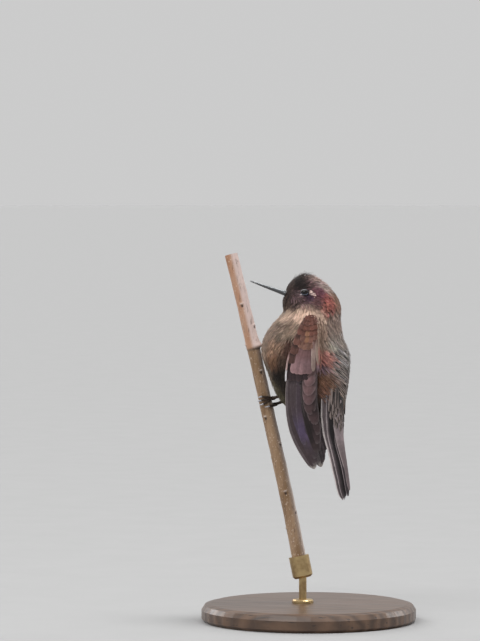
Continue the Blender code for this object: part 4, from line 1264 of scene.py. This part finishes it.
def makeTail(look):
    slope = math.radians(tailMake["slope"])
    root, length, down, behind, out, face = tailAxes(slope)
    known, reach = measureTail(root, length, down, out)
    _, _, _, _, outMiddle, faceMiddle = tailAxes(math.atan(math.tan(slope) * tailMake["droop"]))
    ridge = root + behind * (tailMake["rise"] + tailMake["half"])

    def sidePlace(stacked):
        def place(across, along, rise):
            flat = root - across[..., None] * out - along[..., None] * down
            lift = smoothAlong(bodyOver(flat, face), 2)
            over = stacked * ease(*tailMake["stackFrom"], -along)[..., None] * behind
            return flat + (rise + lift)[..., None] * face + over
        return place

    def middlePlace(across, along, rise):
        flat = ridge - across[..., None] * outMiddle - along[..., None] * down
        lift = smoothAlong(bodyOver(flat, face), 4)
        over = tailMake["overSides"] * ease(0.0, 0.5, lift)
        return flat + (rise + lift + over)[..., None] * faceMiddle

    def addSide(bundle, flip):
        t = vaneRows(vaneMake["rows"])
        narrow = np.minimum(1.0, 0.35 + 0.65 * (1 - t) / 0.5)
        for number, feather in enumerate(tailFeathers):
            end = length + tailMake["fork"] * feather["past"] - tailMake["short"]
            along = feather["start"] + t * (end - feather["start"])
            half = [vaneWidth(t, along[-1] - along[0], wide, tailMake["blunt"]) for wide in feather["half"]]
            side = np.interp(along, known, reach) - np.interp(along, tailMake["drawnAt"], tailMake["drawn"])
            early = feather.get("early", 0.0) * (1 - ease(8.0, 17.0, along))  # further out at its start
            shaft = side * (feather["share"] + early) - feather["half"][0] * narrow
            half[1] = np.minimum(half[1], shaft + (0.0 if flip else tailMake["pastRidge"]))
            # the inner web's strong darkening is partly painted shadow under the next feather in
            shade = {"inner": 0.55, "edgeShare": 0.95, **feather}
            rise = tailMake["half"] - tailMake["step"] * (len(tailFeathers) - 1 - number) + 0 * t
            place = sided(sidePlace(feather["stacked"] * (tailMake["farSide"] if flip else 1.0)), flip)
            addVane(bundle, place, flip, np.stack((-shaft, -along), 1),
                    [h * np.maximum(narrow, 0.5) for h in half], rise,
                    shadeVane(t, along[-1] - along[0], shade), (0.1, 0.0, 0.1, chance.random()),
                    cells(number, len(tailFeathers), 1), tailMake["camber"])

    def addMiddle(bundle, flip):
        t = vaneRows(vaneMake["rows"])
        half = [vaneWidth(t, length, wide, 2.6) for wide in middlePair["half"]]
        inward = ease(0.4, 0.8, t)
        half = [half[0] * np.interp(t, middlePair["at"], middlePair["web"]), half[1] * (1 - 0.5 * inward)]
        across = middlePair["closer"] * inward - middlePair["out"]
        line = np.stack((across, -t * (length - tailMake["short"])), 1)
        addVane(bundle, sided(middlePlace, flip), flip, line, half, 0.02 * (1 + flip) + 0 * t,
                shadeVane(t, length, middlePair), (0.1, 0.0, 0.15, chance.random()),
                cells(int(flip), 7, 7), tailMake["camber"])

    def addCoverts(bundle, flip):
        t, size = vaneRows(14), tailCoverts["length"]
        tips = [(tip, level) for level, row in enumerate(tailCoverts["rows"]) for tip in row]
        for number, ((outward, end), level) in enumerate(tips):
            outward += tailCoverts["stray"][0] * chance.standard_normal()
            end += tailCoverts["stray"][1] * chance.standard_normal()
            line = np.stack((-outward * (0.8 + 0.2 * t) - 0.3 * (1 - t), size - end - size * t), 1)
            spread = 1 + tailCoverts["spread"] * chance.standard_normal()
            wide = vaneWidth(t, size, tailCoverts["half"] * spread, 2.6)
            rise = 0.08 + 0.08 * level + 0.2 * t - 0.9 * (1 - t) ** 1.4
            tint = np.array(tailCoverts["tint"]) * (1 + tailCoverts["spread"] * chance.standard_normal())
            tint = shadeVane(t, size, {**tailCoverts, "tint": tint})
            addVane(bundle, sided(middlePlace, flip), flip, line, (wide, wide), rise, tint,
                    (0.2, 0.1, 0.1, chance.random()), cells(2 + number + int(flip) * len(tips), 7, 7),
                    tailMake["camber"])

    middlePiece = Bundle()
    for label in sides:
        flip = label == "right"
        bundle = Bundle()
        addSide(bundle, flip)
        finishPiece(bundle.build(f"tail_feathers_{label}", look), "flight_feathers", f"tail_{label}")
        addMiddle(middlePiece, flip)
        addCoverts(middlePiece, flip)
    finishPiece(middlePiece.build("tail_feathers_middle", look), "flight_feathers", "tail_middle")
    print(f"tail: {len(sides) * (len(tailFeathers) + 1)} feathers and their coverts")


makeTail(quillLook)


# Eyes and lids

def eyeLook():
    look = Look("wet dark eye", IOR=1.38)
    tint = look.layer("tint")
    fibre = look.noise(1800.0, 3.0, 0.6, look.place())
    look.set("Base Color", look.mix(tint, (0.03, 0.016, 0.01), look.fade(fibre, 0.5, 0.8, 0.0, 0.25)))
    look.set("Roughness", fibre * 0.04 + 0.04)
    return look.material


def lidLook():
    look = Look("bare lid skin", Subsurface_Weight=0.1)
    tint = look.layer("tint")
    fold = look.noise(4200.0, 3.0, 0.6, look.place())
    look.set("Base Color", look.mix(tint, (0.03, 0.03, 0.035), look.fade(fold, 0.45, 0.75, 0.0, 0.6)))
    look.set("Roughness", fold * 0.3 + 0.35)
    look.bump(fold, 0.03)
    return look.material


def eyeAxes(label, side):
    # its middle, its axis, and the directions towards the back of the head and upwards over its face
    axis = eyeAxis(side)
    backward = unit(headBack - axis * (headBack @ axis))
    upward = np.cross(backward, axis)
    return middle("eye_" + label), axis, backward, upward * math.copysign(1, upward[2])


def eyeRadius(label):
    low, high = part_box("eye_" + label)
    return (high.z - low.z) / mm / 2 - eyeMake["ballInset"]


def makeBall(label, side, look):
    centre, axis, backward, upward = eyeAxes(label, side)
    radius, rows, around = eyeRadius(label), eyeMake["ballRows"], eyeMake["ballAround"]
    polar = np.linspace(0.001, math.pi - 0.001, rows)[:, None]
    turn = np.linspace(0, math.tau, around, endpoint=False)[None]
    bulge = radius + eyeMake["cornea"] * np.exp(-((polar / 0.5) ** 2)) + 0 * turn
    wide, tall = eyeMake["half"]
    beside = radius * np.sin(np.minimum(polar, math.pi / 2))
    past = np.hypot(np.cos(turn) / wide, np.sin(turn) / tall) * beside
    bulge = bulge - eyeMake["ballSink"] * ease(1.12, 1.45, past)  # it sinks under the lids
    out = bulge * np.sin(polar)
    points = centre + (bulge * np.cos(polar))[..., None] * axis
    points = points + (out * np.cos(turn))[..., None] * backward + (out * np.sin(turn))[..., None] * upward
    start, whole, falling, end = eyeMake["irisFrom"]
    iris = (ease(start, whole, polar) * ease(end, falling, polar))[..., None]
    tint = blend(np.array(eyeMake["pupil"]), eyeMake["iris"], iris)
    tint = tint * np.ones((rows, around, 3))
    faces = ringFaces(rows, around)
    bundle = Bundle()
    bundle.add(points, [faces[:, ::-1] if side < 0 else faces], tint=tint.reshape(-1, 3))
    finishPiece(bundle.build(f"eyeball_{label}", look, 180), "eye", f"eye_{label}")


def makeLids(label, side, look):
    centre, axis, backward, upward = eyeAxes(label, side)
    rows, around = eyeMake["lidRows"], eyeMake["lidAround"]
    q = np.linspace(0, 1, rows)[:, None]
    turn = np.linspace(0, math.tau, around, endpoint=False)[None]
    wide, tall = (a + (b - a) * q for a, b in zip(eyeMake["half"], eyeMake["lidOuter"]))
    x, y = wide * np.cos(turn), tall * np.sin(turn)
    shell = eyeRadius(label) + eyeMake["lidOver"]
    shell = shell + eyeMake["lidRise"] * np.sin(math.pi * np.clip(q * 2.2, 0, 1))
    shell = shell + eyeMake["fold"] * np.sin(q * 22) * (1 - q) + eyeMake["rim"] * ease(0.0, 0.1, q)
    shell = shell - eyeMake["lidFall"] * ease(0.45, 1.0, q)
    height = np.sqrt(np.maximum(shell**2 - x**2 - y**2, 0.3))
    tilt = math.radians(eyeMake["tilt"])
    along, rise = x * math.cos(tilt) + y * math.sin(tilt), y * math.cos(tilt) - x * math.sin(tilt)
    points = centre + height[..., None] * axis + along[..., None] * backward + rise[..., None] * upward
    # a pale band on the upper lid's inner rim is a painted highlight for the crescent reflection on the eye
    above = ease(0.35, 0.85, np.sin(turn - 0.3))[..., None]
    under = ease(0.1, -0.7, np.sin(turn))[..., None]
    tint = np.array(eyeMake["skin"]) * np.ones((rows, around, 1))
    tint = blend(tint, eyeMake["skinUnder"], under * ease(0.62, 0.40, q)[..., None])
    tint = blend(tint, eyeMake["paintedCrescent"], above * ease(0.42, 0.28, q)[..., None])
    lining = points - axis * eyeMake["lidThick"]
    faces, count, inner = ringFaces(rows, around), rows * around, np.arange(around)
    beyond = np.roll(inner, -1)
    lip = np.stack((inner, inner + count, beyond + count, beyond), 1)
    brim = np.stack((inner, beyond, beyond + count, inner + count), 1) + count - around
    shapes = np.concatenate((faces, faces[:, ::-1] + count, lip, brim))
    bundle = Bundle()
    bundle.add(np.concatenate((points.reshape(-1, 3), lining.reshape(-1, 3))),
               [shapes if side < 0 else shapes[:, ::-1]], tint=np.tile(tint.reshape(-1, 3), (2, 1)))
    finishPiece(bundle.build(f"eyelids_{label}", look, 60), "leg_skin")


ballLook, lidSkin = eyeLook(), lidLook()
for label, side in sides.items():
    makeBall(label, side, ballLook)
    makeLids(label, side, lidSkin)
print("eyes and lids")


# Bill

billMake = {
    "root": (-8.0, 0.15), "tip": (-23.4, 5.6),  # in the head's own frame
    "high": 1.0, "wide": 0.98, "point": 0.2,  # of each half at its root, and at its tip
    "taper": 1.25, "gape": 0.015, "droop": 0.12, "keel": 0.06, "tomium": 0.05,
    "nostril": 0.13, "nostrilAt": (0.13, 0.07),  # how deep, and where along the bill and how long
    "rows": 44, "around": 20,
}


def hornLook():
    look = Look("black bill horn", IOR=1.5, Coat_Weight=1.0, Coat_Roughness=0.25, Coat_IOR=1.6)
    _, along = look.vane()
    streak = look.noise(700.0, 4.0, 0.6, look.place((0.25, 1.6, 1.0)))
    colour = look.mix((0.008, 0.008, 0.010), (0.030, 0.030, 0.034), look.fade(streak, 0.35, 0.75))
    # the upper side is painted paler and bluer: a painted reflection of the sky along the top
    upward = look.channels(look.node("NewGeometry", output=1))[2]
    colour = look.mix(colour, (0.15, 0.165, 0.175), look.fade(upward, 0.15, 0.75))
    look.set("Base Color", look.mix(colour, (0.05, 0.035, 0.028), look.fade(along, 0.14, 0.0, 0.0, 0.5)))
    look.set("Roughness", streak * 0.16 + 0.2)
    look.bump(streak, 0.02)
    return look.material


def makeHalf(name, turnUp, look):
    # turnUp: 1 for the upper half of the bill, -1 for the lower
    (x0, z0), (x1, z1) = billMake["root"], billMake["tip"]
    count = billMake["rows"]
    t = np.linspace(0, 1, count)
    droop = billMake["droop"] * 4 * t**3 * (1 - t)
    line = np.stack((x0 + (x1 - x0) * t, 0 * t, z0 + (z1 - z0) * t - droop), 1)[:, None]
    heading, aside = unit(line[-1, 0] - line[0, 0]), np.array((0.0, 1.0, 0.0))
    lift = np.array((heading[2], 0.0, -heading[0])) * turnUp
    taper, point = 1 - t ** billMake["taper"], billMake["point"]
    high, wide = ((point + (billMake[key] - point) * taper)[:, None] for key in ("high", "wide"))
    close = np.sqrt(np.clip(1 - ((t - 0.97) / 0.03).clip(0, 1) ** 2, 0.02, 1))[:, None]
    angle = np.linspace(0, math.pi, billMake["around"])[None]
    keel = 1 + billMake["keel"] * np.exp(-(((angle - math.pi / 2) / 0.35) ** 2))
    tomium = 1 + billMake["tomium"] * np.exp(-((np.sin(angle) / 0.18) ** 2))
    at, long = billMake["nostrilAt"]
    nostril = np.exp(-(((np.sin(angle) - 0.42) / 0.14) ** 2)) * np.exp(-(((t - at) / long) ** 2))[:, None]
    size = close * (1 - billMake["nostril"] * nostril * (turnUp > 0))
    side = np.cos(angle) * wide * size * tomium
    rise = np.sin(angle) * high * size * keel + billMake["gape"]
    outer = line + side[..., None] * aside + rise[..., None] * lift
    flat = np.linspace(-1, 1, 6)[1:-1] * wide * close * 0.92
    inner = line + flat[..., None] * aside + lift * billMake["gape"]
    rings = np.concatenate((outer, inner), 1)
    around = rings.shape[1]
    caps = [list(range(around))[::-1], list(range((count - 1) * around, count * around))]
    mesh = bmesh.new()
    rows = [mesh.verts.new(p * mm) for p in fromHead(rings.reshape(-1, 3))]
    for face in list(ringFaces(count, around)) + caps:
        mesh.faces.new([rows[i] for i in face])
    bmesh.ops.recalc_face_normals(mesh, faces=mesh.faces)
    data = bpy.data.meshes.new(name)
    mesh.to_mesh(data)
    mesh.free()
    data.shade_smooth()
    data.set_sharp_from_angle(angle=math.radians(48))
    addLook(data, look, vane=onEach(np.linspace(0, 1, around)[None], t[:, None]))
    finishPiece(newObject(name + "_horn", data), "bill_horn", name)


horn = hornLook()
for name, turnUp in (("bill_upper", 1), ("bill_lower", -1)):
    makeHalf(name, turnUp, horn)
print("bill")


# Stem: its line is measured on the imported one

stemTree = BVHTree.FromPolygons(*nodeFaces("perch_stem"))
stemLow, stemHigh = (corner.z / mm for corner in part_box("perch_stem"))
stemScan = {"clear": 1.5, "levels": 90, "far": 80.0, "bends": 4, "widest": 3.2}


def measureStem():
    # middle and radius at heights, from rays across the stem, smoothed over its scars
    heights = np.linspace(stemLow + stemScan["clear"], stemHigh - stemScan["clear"], stemScan["levels"])
    spans = []
    for height in heights:
        starts = [Vector((turn * stemScan["far"], 0.0, height)) * mm for turn in (-1, 1)]
        hits = [stemTree.ray_cast(start, Vector((-start.x, 0, 0)).normalized())[0] for start in starts]
        spans.append([hit.x / mm for hit in hits])
    left, right = np.array(spans).T
    centre = np.polyfit(heights, (left + right) / 2, stemScan["bends"])
    wide = np.polyfit(heights, np.minimum((right - left) / 2, stemScan["widest"]), 1)
    return centre, wide


stemCentre, stemWidth = measureStem()


def stemAt(height):
    # middle, direction and radius of the stem at heights
    height = np.asarray(height, float)
    centre = np.stack((np.polyval(stemCentre, height), 0 * height, height), -1)
    heading = unit(np.stack((np.polyval(np.polyder(stemCentre), height), 0 * height, 1 + 0 * height), -1))
    return centre, heading, np.polyval(stemWidth, height) * heading[..., 2]


def roundStem(height, angle, distance):
    # the point at an angle in degrees from the stem's +X side towards -Y
    centre, heading, _ = stemAt(height)
    across = np.stack((heading[..., 2], 0 * heading[..., 0], -heading[..., 0]), -1)
    turn = np.radians(angle)
    out = np.cos(turn)[..., None] * across - np.sin(turn)[..., None] * np.array((0.0, 1.0, 0.0))
    return centre + np.asarray(distance)[..., None] * out


stemMake = {
    "rows": 420, "around": 56,
    "nodeHeight": 106.6,  # where the younger, paler shoot leaves the older one
    "nodeAngle": 12.0, "nodeSwell": 1.7, "nodeLong": 1.5, "sleeve": 0.16, "shelf": 0.3, "shelfLong": 4.0,
    "pit": 0.4, "lip": 0.34, "collar": 0.1, "groove": 0.045, "wave": 0.035,
    # the lit side: the bark is painted paler there, as painted light
    "paintedLitSide": -30.0,  # the angle of its paler side, towards the bird
    "foot": 8.5,  # up to this far above its lower end nothing stands out from it
    "scars": (
        # height, angle
        (133.4, 250.0), (123.2, 88.0), (114.3, 14.0), (107.6, 158.0), (96.8, 52.0), (79.3, 106.0),
        (68.4, 18.0), (63.5, 160.0), (49.9, 76.0), (41.8, 12.0), (35.8, 158.0), (118.5, 232.0),
        (88.0, 290.0), (73.0, 235.0), (57.0, 300.0), (128.2, 318.0), (101.5, 215.0), (31.0, 262.0),
    ),
}


def barkLook():
    look = Look("dry pink-brown bark", Sheen_Weight=0.1)
    marks = look.layer("marks")
    side = look.layer("marks", 3)
    scarAndShadow, young, lip = look.channels(marks, "SeparateColor")
    broad = look.noise(140.0, 4.0, 0.65, look.place((1, 1, 0.3)))
    fibre = look.noise(1700.0, 5.0, 0.7, look.place((1, 1, 0.12)))
    crack = look.noise(900.0, 4.0, 0.7, look.place((1, 1, 0.16)))
    speck = look.noise(2100.0, 2.0, 0.5, look.place((1, 1, 0.5)))
    old = look.mix((0.200, 0.115, 0.056), (0.330, 0.215, 0.130), look.fade(broad, 0.35, 0.65))
    # side is the painted lit side: old and young bark are painted paler there, with a painted highlight line
    # near the old bark's edge
    old = look.mix(old, (0.300, 0.225, 0.180), look.fade(side, 0.45, 0.85))
    old = look.mix(old, (0.560, 0.470, 0.410), look.fade(side, 0.76, 0.88, 0.0, 0.85))
    fresh = look.mix((0.400, 0.200, 0.110), (0.470, 0.300, 0.215), look.fade(broad, 0.3, 0.65))
    fresh = look.mix(fresh, (0.640, 0.510, 0.475), look.fade(side, 0.2, 0.5, 0.0, 0.9))
    colour = look.mix(old, fresh, young)
    colour = look.mix(colour, (0.090, 0.050, 0.032), look.fade(crack, 0.55, 0.72, 0.0, 0.7))
    colour = look.mix(colour, (0.120, 0.070, 0.045), look.fade(fibre, 0.52, 0.75, 0.0, 0.6))
    colour = look.mix(colour, (0.68, 0.56, 0.46), look.fade(speck, 0.60, 0.74, 0.0, 0.65))
    # dark leaf scars, and the painted shadow under the node
    colour = look.mix(colour, (0.030, 0.016, 0.012), scarAndShadow)
    look.set("Base Color", look.mix(colour, (0.74, 0.64, 0.58), lip))
    look.set("Roughness", fibre * 0.25 + 0.7)
    look.bump(fibre + crack * 0.8 + speck * 0.5, 0.16)
    return look.material


def makeStem(look):
    rows, around = stemMake["rows"], stemMake["around"]
    height = np.linspace(stemLow + 0.4, stemHigh - 0.3, rows)[:, None]
    turn = np.linspace(0, 360, around, endpoint=False)[None]
    _, _, radius = stemAt(height)
    angle = np.radians(turn)
    ridges = sum(np.sin(k * angle + 3 * k + height * s) / k for k, s in ((5, 0.03), (8, -0.05), (13, 0.04)))
    waves = np.sin(height * 0.55) + 0.6 * np.sin(height * 0.23 + 1.3 + np.sin(angle))
    size = radius + stemMake["groove"] * ridges + stemMake["wave"] * waves
    node = stemMake["nodeHeight"]
    young = 1 / (1 + np.exp(-(height - node) / 0.25))
    facing = 0.5 + 0.5 * np.cos(np.radians(turn - stemMake["nodeAngle"]))
    swell = np.exp(-np.clip(height - node, 0, None) / stemMake["nodeLong"]) * young
    shelf = np.exp(-np.clip(height - node, 0, None) / stemMake["shelfLong"]) * young
    size = size + stemMake["sleeve"] * young + stemMake["nodeSwell"] * swell * facing**6
    size = size + stemMake["shelf"] * shelf * facing
    scarAndShadow, lip = np.zeros_like(size), np.zeros_like(size)
    for place, where in stemMake["scars"]:
        across = (np.mod(turn - where + 180, 360) - 180) * math.pi / 180 * radius
        rise = height - place
        across = across + 0.1 * np.sin(place)
        pit = np.exp(-((across / 0.5) ** 2) - ((rise + 0.1) / 0.6) ** 2)
        brow = np.exp(-((across / 0.62) ** 2) - ((rise - 0.85) / 0.26) ** 2)
        collar = np.exp(-(((np.hypot(across, rise) - 0.95) / 0.35) ** 2))
        size = size - stemMake["pit"] * pit + stemMake["lip"] * brow + stemMake["collar"] * collar
        scarAndShadow, lip = np.maximum(scarAndShadow, pit), np.maximum(lip, brow * 0.8)
    # a painted shadow under the node's lip, added to the scar marks
    under = np.exp(-(((height - node + 0.5) / 0.5) ** 2)) * (0.4 + 0.6 * facing)
    scarAndShadow = np.clip(scarAndShadow * 1.6 - 0.25, 0, 1) + 0.8 * under * (1 - young)
    paintedLitSide = 0.5 + 0.5 * np.cos(np.radians(turn - stemMake["paintedLitSide"]))
    size = np.where(height < stemLow + stemMake["foot"], np.minimum(size, radius), size)
    points = roundStem(height + 0 * turn, turn + 0 * height, size)
    marks = onEach(np.clip(scarAndShadow, 0, 1), young, lip, paintedLitSide)
    ends = np.stack((stemAt(height[0, 0])[0], stemAt(height[-1, 0])[0]))
    faces = [ringFaces(rows, around)[:, ::-1], endFans(rows, around)[:, ::-1]]
    bundle = Bundle()
    bundle.add(np.concatenate((points.reshape(-1, 3), ends)), faces,
               marks=np.concatenate((marks, np.zeros((2, 4)))))
    finishPiece(bundle.build("stem_bark", look, 60), "dry_stem", "perch_stem")
    print("stem")


makeStem(barkLook())


# Legs and feet

legMake = {
    "palm": (0.85, 0.7), "palmLift": 0.75, "shank": (0.62, 0.55, 0.6, 0.8), "bend": 0.25,
    "toe": 0.46, "toeEnd": 0.36, "toeGap": 0.12, "knuckle": 0.16,  # thickness, and room to the bark
    "claw": 0.3, "clawTip": 0.07, "clawGap": 0.1, "clawTurn": 36.0, "clawRise": 0.75,
}
feet = {"left": (86.3, 8.0), "right": (83.8, 24.0)}  # height of the palm, and its angle round the stem
ankle, ankleFollows = (-6.5, 4.4, 88.6), 0.8  # the left one, and how far the other follows its palm
toes = ((1.5, 84.0), (0.1, 96.0), (-1.4, 86.0), (-0.2, -78.0))  # climb along the stem, turn round it


def scaleLook(name, light, darkTint, rough, shine=0.5):
    look = Look(name, Specular_IOR_Level=shine)
    _, along = look.vane()
    scute = look.math("ABSOLUTE", look.math("SINE", along * 46.0))
    fine = look.noise(3000.0, 3.0, 0.6, look.place())
    seam = look.fade(scute, 0.0, 0.35)
    look.set("Base Color", look.mix(darkTint, light, seam * look.fade(fine, 0.2, 0.8, 0.6, 1.0)))
    look.set("Roughness", fine * 0.2 + (rough - 0.1))
    look.bump(seam + fine * 0.3, 0.05)
    return look.material


roundEnd = 0.04  # of a limb's length


def sweep(bundle, line, radii, around, knuckles=0, knuckle=0.0):
    # a round limb through points, with rounded ends and swollen joints
    count = 8 * (len(line) - 1) + 1
    at = np.linspace(0, len(line) - 1, count)
    i = np.clip(at.astype(int), 0, len(line) - 2)
    f = (at - i)[:, None]
    padded = np.concatenate((line[:1] * 2 - line[1:2], line, line[-1:] * 2 - line[-2:-1]))
    a, b, c, d = (padded[i + k] for k in range(4))
    square, cube = 2 * a - 5 * b + 4 * c - d, 3 * b - a - 3 * c + d
    smooth = 0.5 * (2 * b + (c - a) * f + square * f**2 + cube * f**3)
    size = np.interp(at, np.arange(len(line)), radii)
    t = np.linspace(0, 1, count)
    size = size * (1 + knuckle * np.abs(np.cos(t * math.pi * knuckles)) ** 3)
    for fromEnd in (1 - t, t):
        size = size * np.sqrt(np.clip(1 - (1 - fromEnd / roundEnd).clip(0, 1) ** 2, 0.03, 1))
    heading = unit(np.gradient(smooth, axis=0))
    first = unit(np.cross(heading, np.array((0.3, 0.2, 1.0))))
    second = np.cross(heading, first)
    turn = np.linspace(0, math.tau, around, endpoint=False)[None, :, None]
    ring = np.cos(turn) * first[:, None] + np.sin(turn) * second[:, None]
    points = (smooth[:, None] + ring * size[:, None, None]).reshape(-1, 3)
    ends = np.stack((smooth[0], smooth[-1]))
    spread = np.concatenate((onEach(turn[..., 0] / math.tau, t[:, None]), ((0.5, 0.0), (0.5, 1.0))))
    faces = [ringFaces(count, around), endFans(count, around)]
    bundle.add(np.concatenate((points, ends)), faces, vane=spread)


def makeLeg(label, side, skin, claw):
    palm, angle = feet[label]
    pad = roundStem(np.array(palm), np.array(-side * angle), stemAt(palm)[2] + legMake["palmLift"])
    heel = np.array((ankle[0], side * ankle[1], ankle[2] + ankleFollows * (palm - feet["left"][0])))
    shank, foot, claws = Bundle(), Bundle(), Bundle()
    line = np.stack((pad, blend(pad, heel, 0.4) + up * legMake["bend"], blend(pad, heel, 0.7), heel))
    sweep(shank, line, legMake["shank"], 18)
    sweep(foot, np.stack((blend(pad, heel, -0.05), blend(pad, heel, 0.14))), legMake["palm"], 18)
    for climb, turn in toes:
        t = np.linspace(0, 1, 7)
        level = palm + climb * t
        thick = blend(legMake["toe"], legMake["toeEnd"], t)
        distance = stemAt(level)[2] + legMake["toeGap"] + thick
        sweep(foot, roundStem(level, -side * (angle + turn * t), distance), thick, 14, 4, legMake["knuckle"])
        q = np.linspace(0, 1, 6)
        thick = legMake["claw"] * (1 - q) ** 0.8 + legMake["clawTip"]
        reach = angle + turn + math.copysign(legMake["clawTurn"], turn) * q
        level = palm + climb + 0 * q
        distance = stemAt(level)[2] + legMake["clawGap"] + thick + np.sin(math.pi * q) * legMake["clawRise"]
        sweep(claws, roundStem(level, -side * reach, distance), thick, 12)
    finishPiece(shank.build(f"tarsus_{label}", skin, 60), "leg_skin", f"shank_{label}")
    finishPiece(foot.build(f"toes_{label}", skin, 60), "leg_skin", f"foot_{label}")
    finishPiece(claws.build(f"claws_{label}", claw, 60), "leg_skin")


legSkin = scaleLook("scaly leg skin", (0.048, 0.031, 0.023), (0.016, 0.010, 0.007), 0.55, 0.2)
# the claws are painted pale bluish-white: a painted highlight on backlit dark horn
clawPaintedGlint = scaleLook("claw horn painted pale as a highlight", (0.46, 0.46, 0.50), (0.30, 0.29, 0.31), 0.35)
for label, side in sides.items():
    makeLeg(label, side, legSkin, clawPaintedGlint)
print("legs and claws")


# Stand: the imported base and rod, with their finishes

def woodLook():
    look = Look("stained walnut", Coat_Weight=0.25, Coat_Roughness=0.25)
    where = look.place((1.0, 7.0, 3.0))
    warp = look.noise(14.0, 3.0, 0.6, where)
    ring = look.node("TexWave", {"wave_type": "BANDS", "bands_direction": "Y"},
                     {"Vector": look.place((0.35, 1.0, 1.0)), "Scale": 70.0, "Distortion": 5.0,
                      "Detail": 3.0, "Detail Scale": 1.6})
    pores = look.noise(900.0, 2.0, 0.5, look.place((0.06, 1.0, 1.0)))
    colour = look.mix((0.050, 0.026, 0.015), (0.135, 0.074, 0.042), ring * 0.7 + warp * 0.4 - 0.1)
    look.set("Base Color", look.mix(colour, (0.018, 0.010, 0.007), look.fade(pores, 0.58, 0.75, 0.0, 0.8)))
    look.set("Roughness", pores * 0.2 + warp * 0.1 + 0.25)
    look.bump(look.fade(pores, 0.6, 0.75, 1.0, 0.0), 0.04)
    return look.material


def brassLook():
    look = Look("dull brushed brass", Metallic=1.0)
    brush = look.noise(2200.0, 2.0, 0.5, look.place((1, 1, 0.04)))
    cloud = look.noise(160.0, 3.0, 0.6, look.place())
    colour = look.mix((0.50, 0.37, 0.19), (0.30, 0.20, 0.10), look.fade(cloud, 0.4, 0.7))
    look.set("Base Color", colour)
    look.set("Roughness", brush * 0.2 + cloud * 0.15 + 0.2)
    look.bump(brush, 0.02)
    return look.material


for name, make in (("stand_base", woodLook), ("stand_rod", brassLook)):
    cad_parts[name].data.materials[0] = make()
print("stand")


# Camera, floor and light

cameraMake = {"azimuth": 15.0, "elevation": 2.0, "distance": 1390.0, "lens": 200.0, "sensor": 36.0,
              "aimAside": -26.9, "aimHeight": 117.6}


def makeCamera():
    turn, tip = math.radians(cameraMake["azimuth"]), math.radians(cameraMake["elevation"])
    right = Vector((math.cos(turn), math.sin(turn), 0.0))
    ahead = Vector((-math.sin(turn) * math.cos(tip), math.cos(turn) * math.cos(tip), -math.sin(tip)))
    aim = right * cameraMake["aimAside"] * mm + Vector((0, 0, cameraMake["aimHeight"] * mm))
    data = bpy.data.cameras.new("camera")
    data.lens, data.sensor_width = cameraMake["lens"], cameraMake["sensor"]
    data.clip_start, data.clip_end = 0.01, 200.0
    camera = newObject("camera", data)
    camera.location = aim - ahead * cameraMake["distance"] * mm
    camera.rotation_euler = ahead.to_track_quat("-Z", "Y").to_euler()
    bpy.context.scene.camera = camera


stageMake = {
    "world": 0.60, "floor": 0.365, "grain": 0.015,
    "radius": 60.0,  # of the floor, in metres, as are the strip's place and size
    "suns": {
        # where the light comes from, its strength, and how soft it is in degrees
        "key": ((-0.55, -0.75, 0.75), 0.9, 40.0),
        "above": ((0.34, 0.08, 0.93), 1.5, 18.0),
        "rimLeft": ((-0.85, 0.55, 0.6), 0.9, 25.0),
        "rimRight": ((0.75, 0.75, 0.5), 0.6, 25.0),
    },
    "strip": {"at": (-0.10, -0.78, 0.98), "size": (0.62, 0.07), "power": 3.2},
}


def makeStage():
    floorLook = Look("pale floor", Roughness=0.9)
    grain = floorLook.noise(40.0, 3.0, 0.6, floorLook.place())
    dark, light = (stageMake["floor"] + turn * stageMake["grain"] for turn in (-1, 1))
    floorLook.set("Base Color", floorLook.mix((dark,) * 3, (light,) * 3, grain))
    floorLook.bump(grain, 0.05)
    mesh = bmesh.new()
    bmesh.ops.create_circle(mesh, cap_ends=True, segments=128, radius=stageMake["radius"])
    data = bpy.data.meshes.new("floor")
    mesh.to_mesh(data)
    mesh.free()
    data.materials.append(floorLook.material)
    newObject("floor", data)
    for name, (source, strength, soft) in stageMake["suns"].items():
        data = bpy.data.lights.new(name, "SUN")
        data.energy, data.angle = strength, math.radians(soft)
        lamp = newObject(name, data)
        lamp.rotation_euler = Vector(source).to_track_quat("Z", "Y").to_euler()
    strip = stageMake["strip"]
    data = bpy.data.lights.new("strip", "AREA")
    data.shape, data.energy = "RECTANGLE", strip["power"]
    data.size, data.size_y = strip["size"]
    lamp = newObject("strip", data)
    lamp.location = strip["at"]
    away = Vector(strip["at"]) - Vector(headCentre) * mm
    lamp.rotation_euler = away.to_track_quat("Z", "Y").to_euler()
    world = bpy.data.worlds.new("studio")
    world.use_nodes = True
    back = world.node_tree.nodes["Background"]
    back.inputs["Color"].default_value = (1.0, 1.0, 1.0, 1.0)
    back.inputs["Strength"].default_value = stageMake["world"]
    bpy.context.scene.world = world
    bpy.context.scene.view_settings.view_transform = "Standard"


makeCamera()
makeStage()
print("stage: camera, floor and lights")
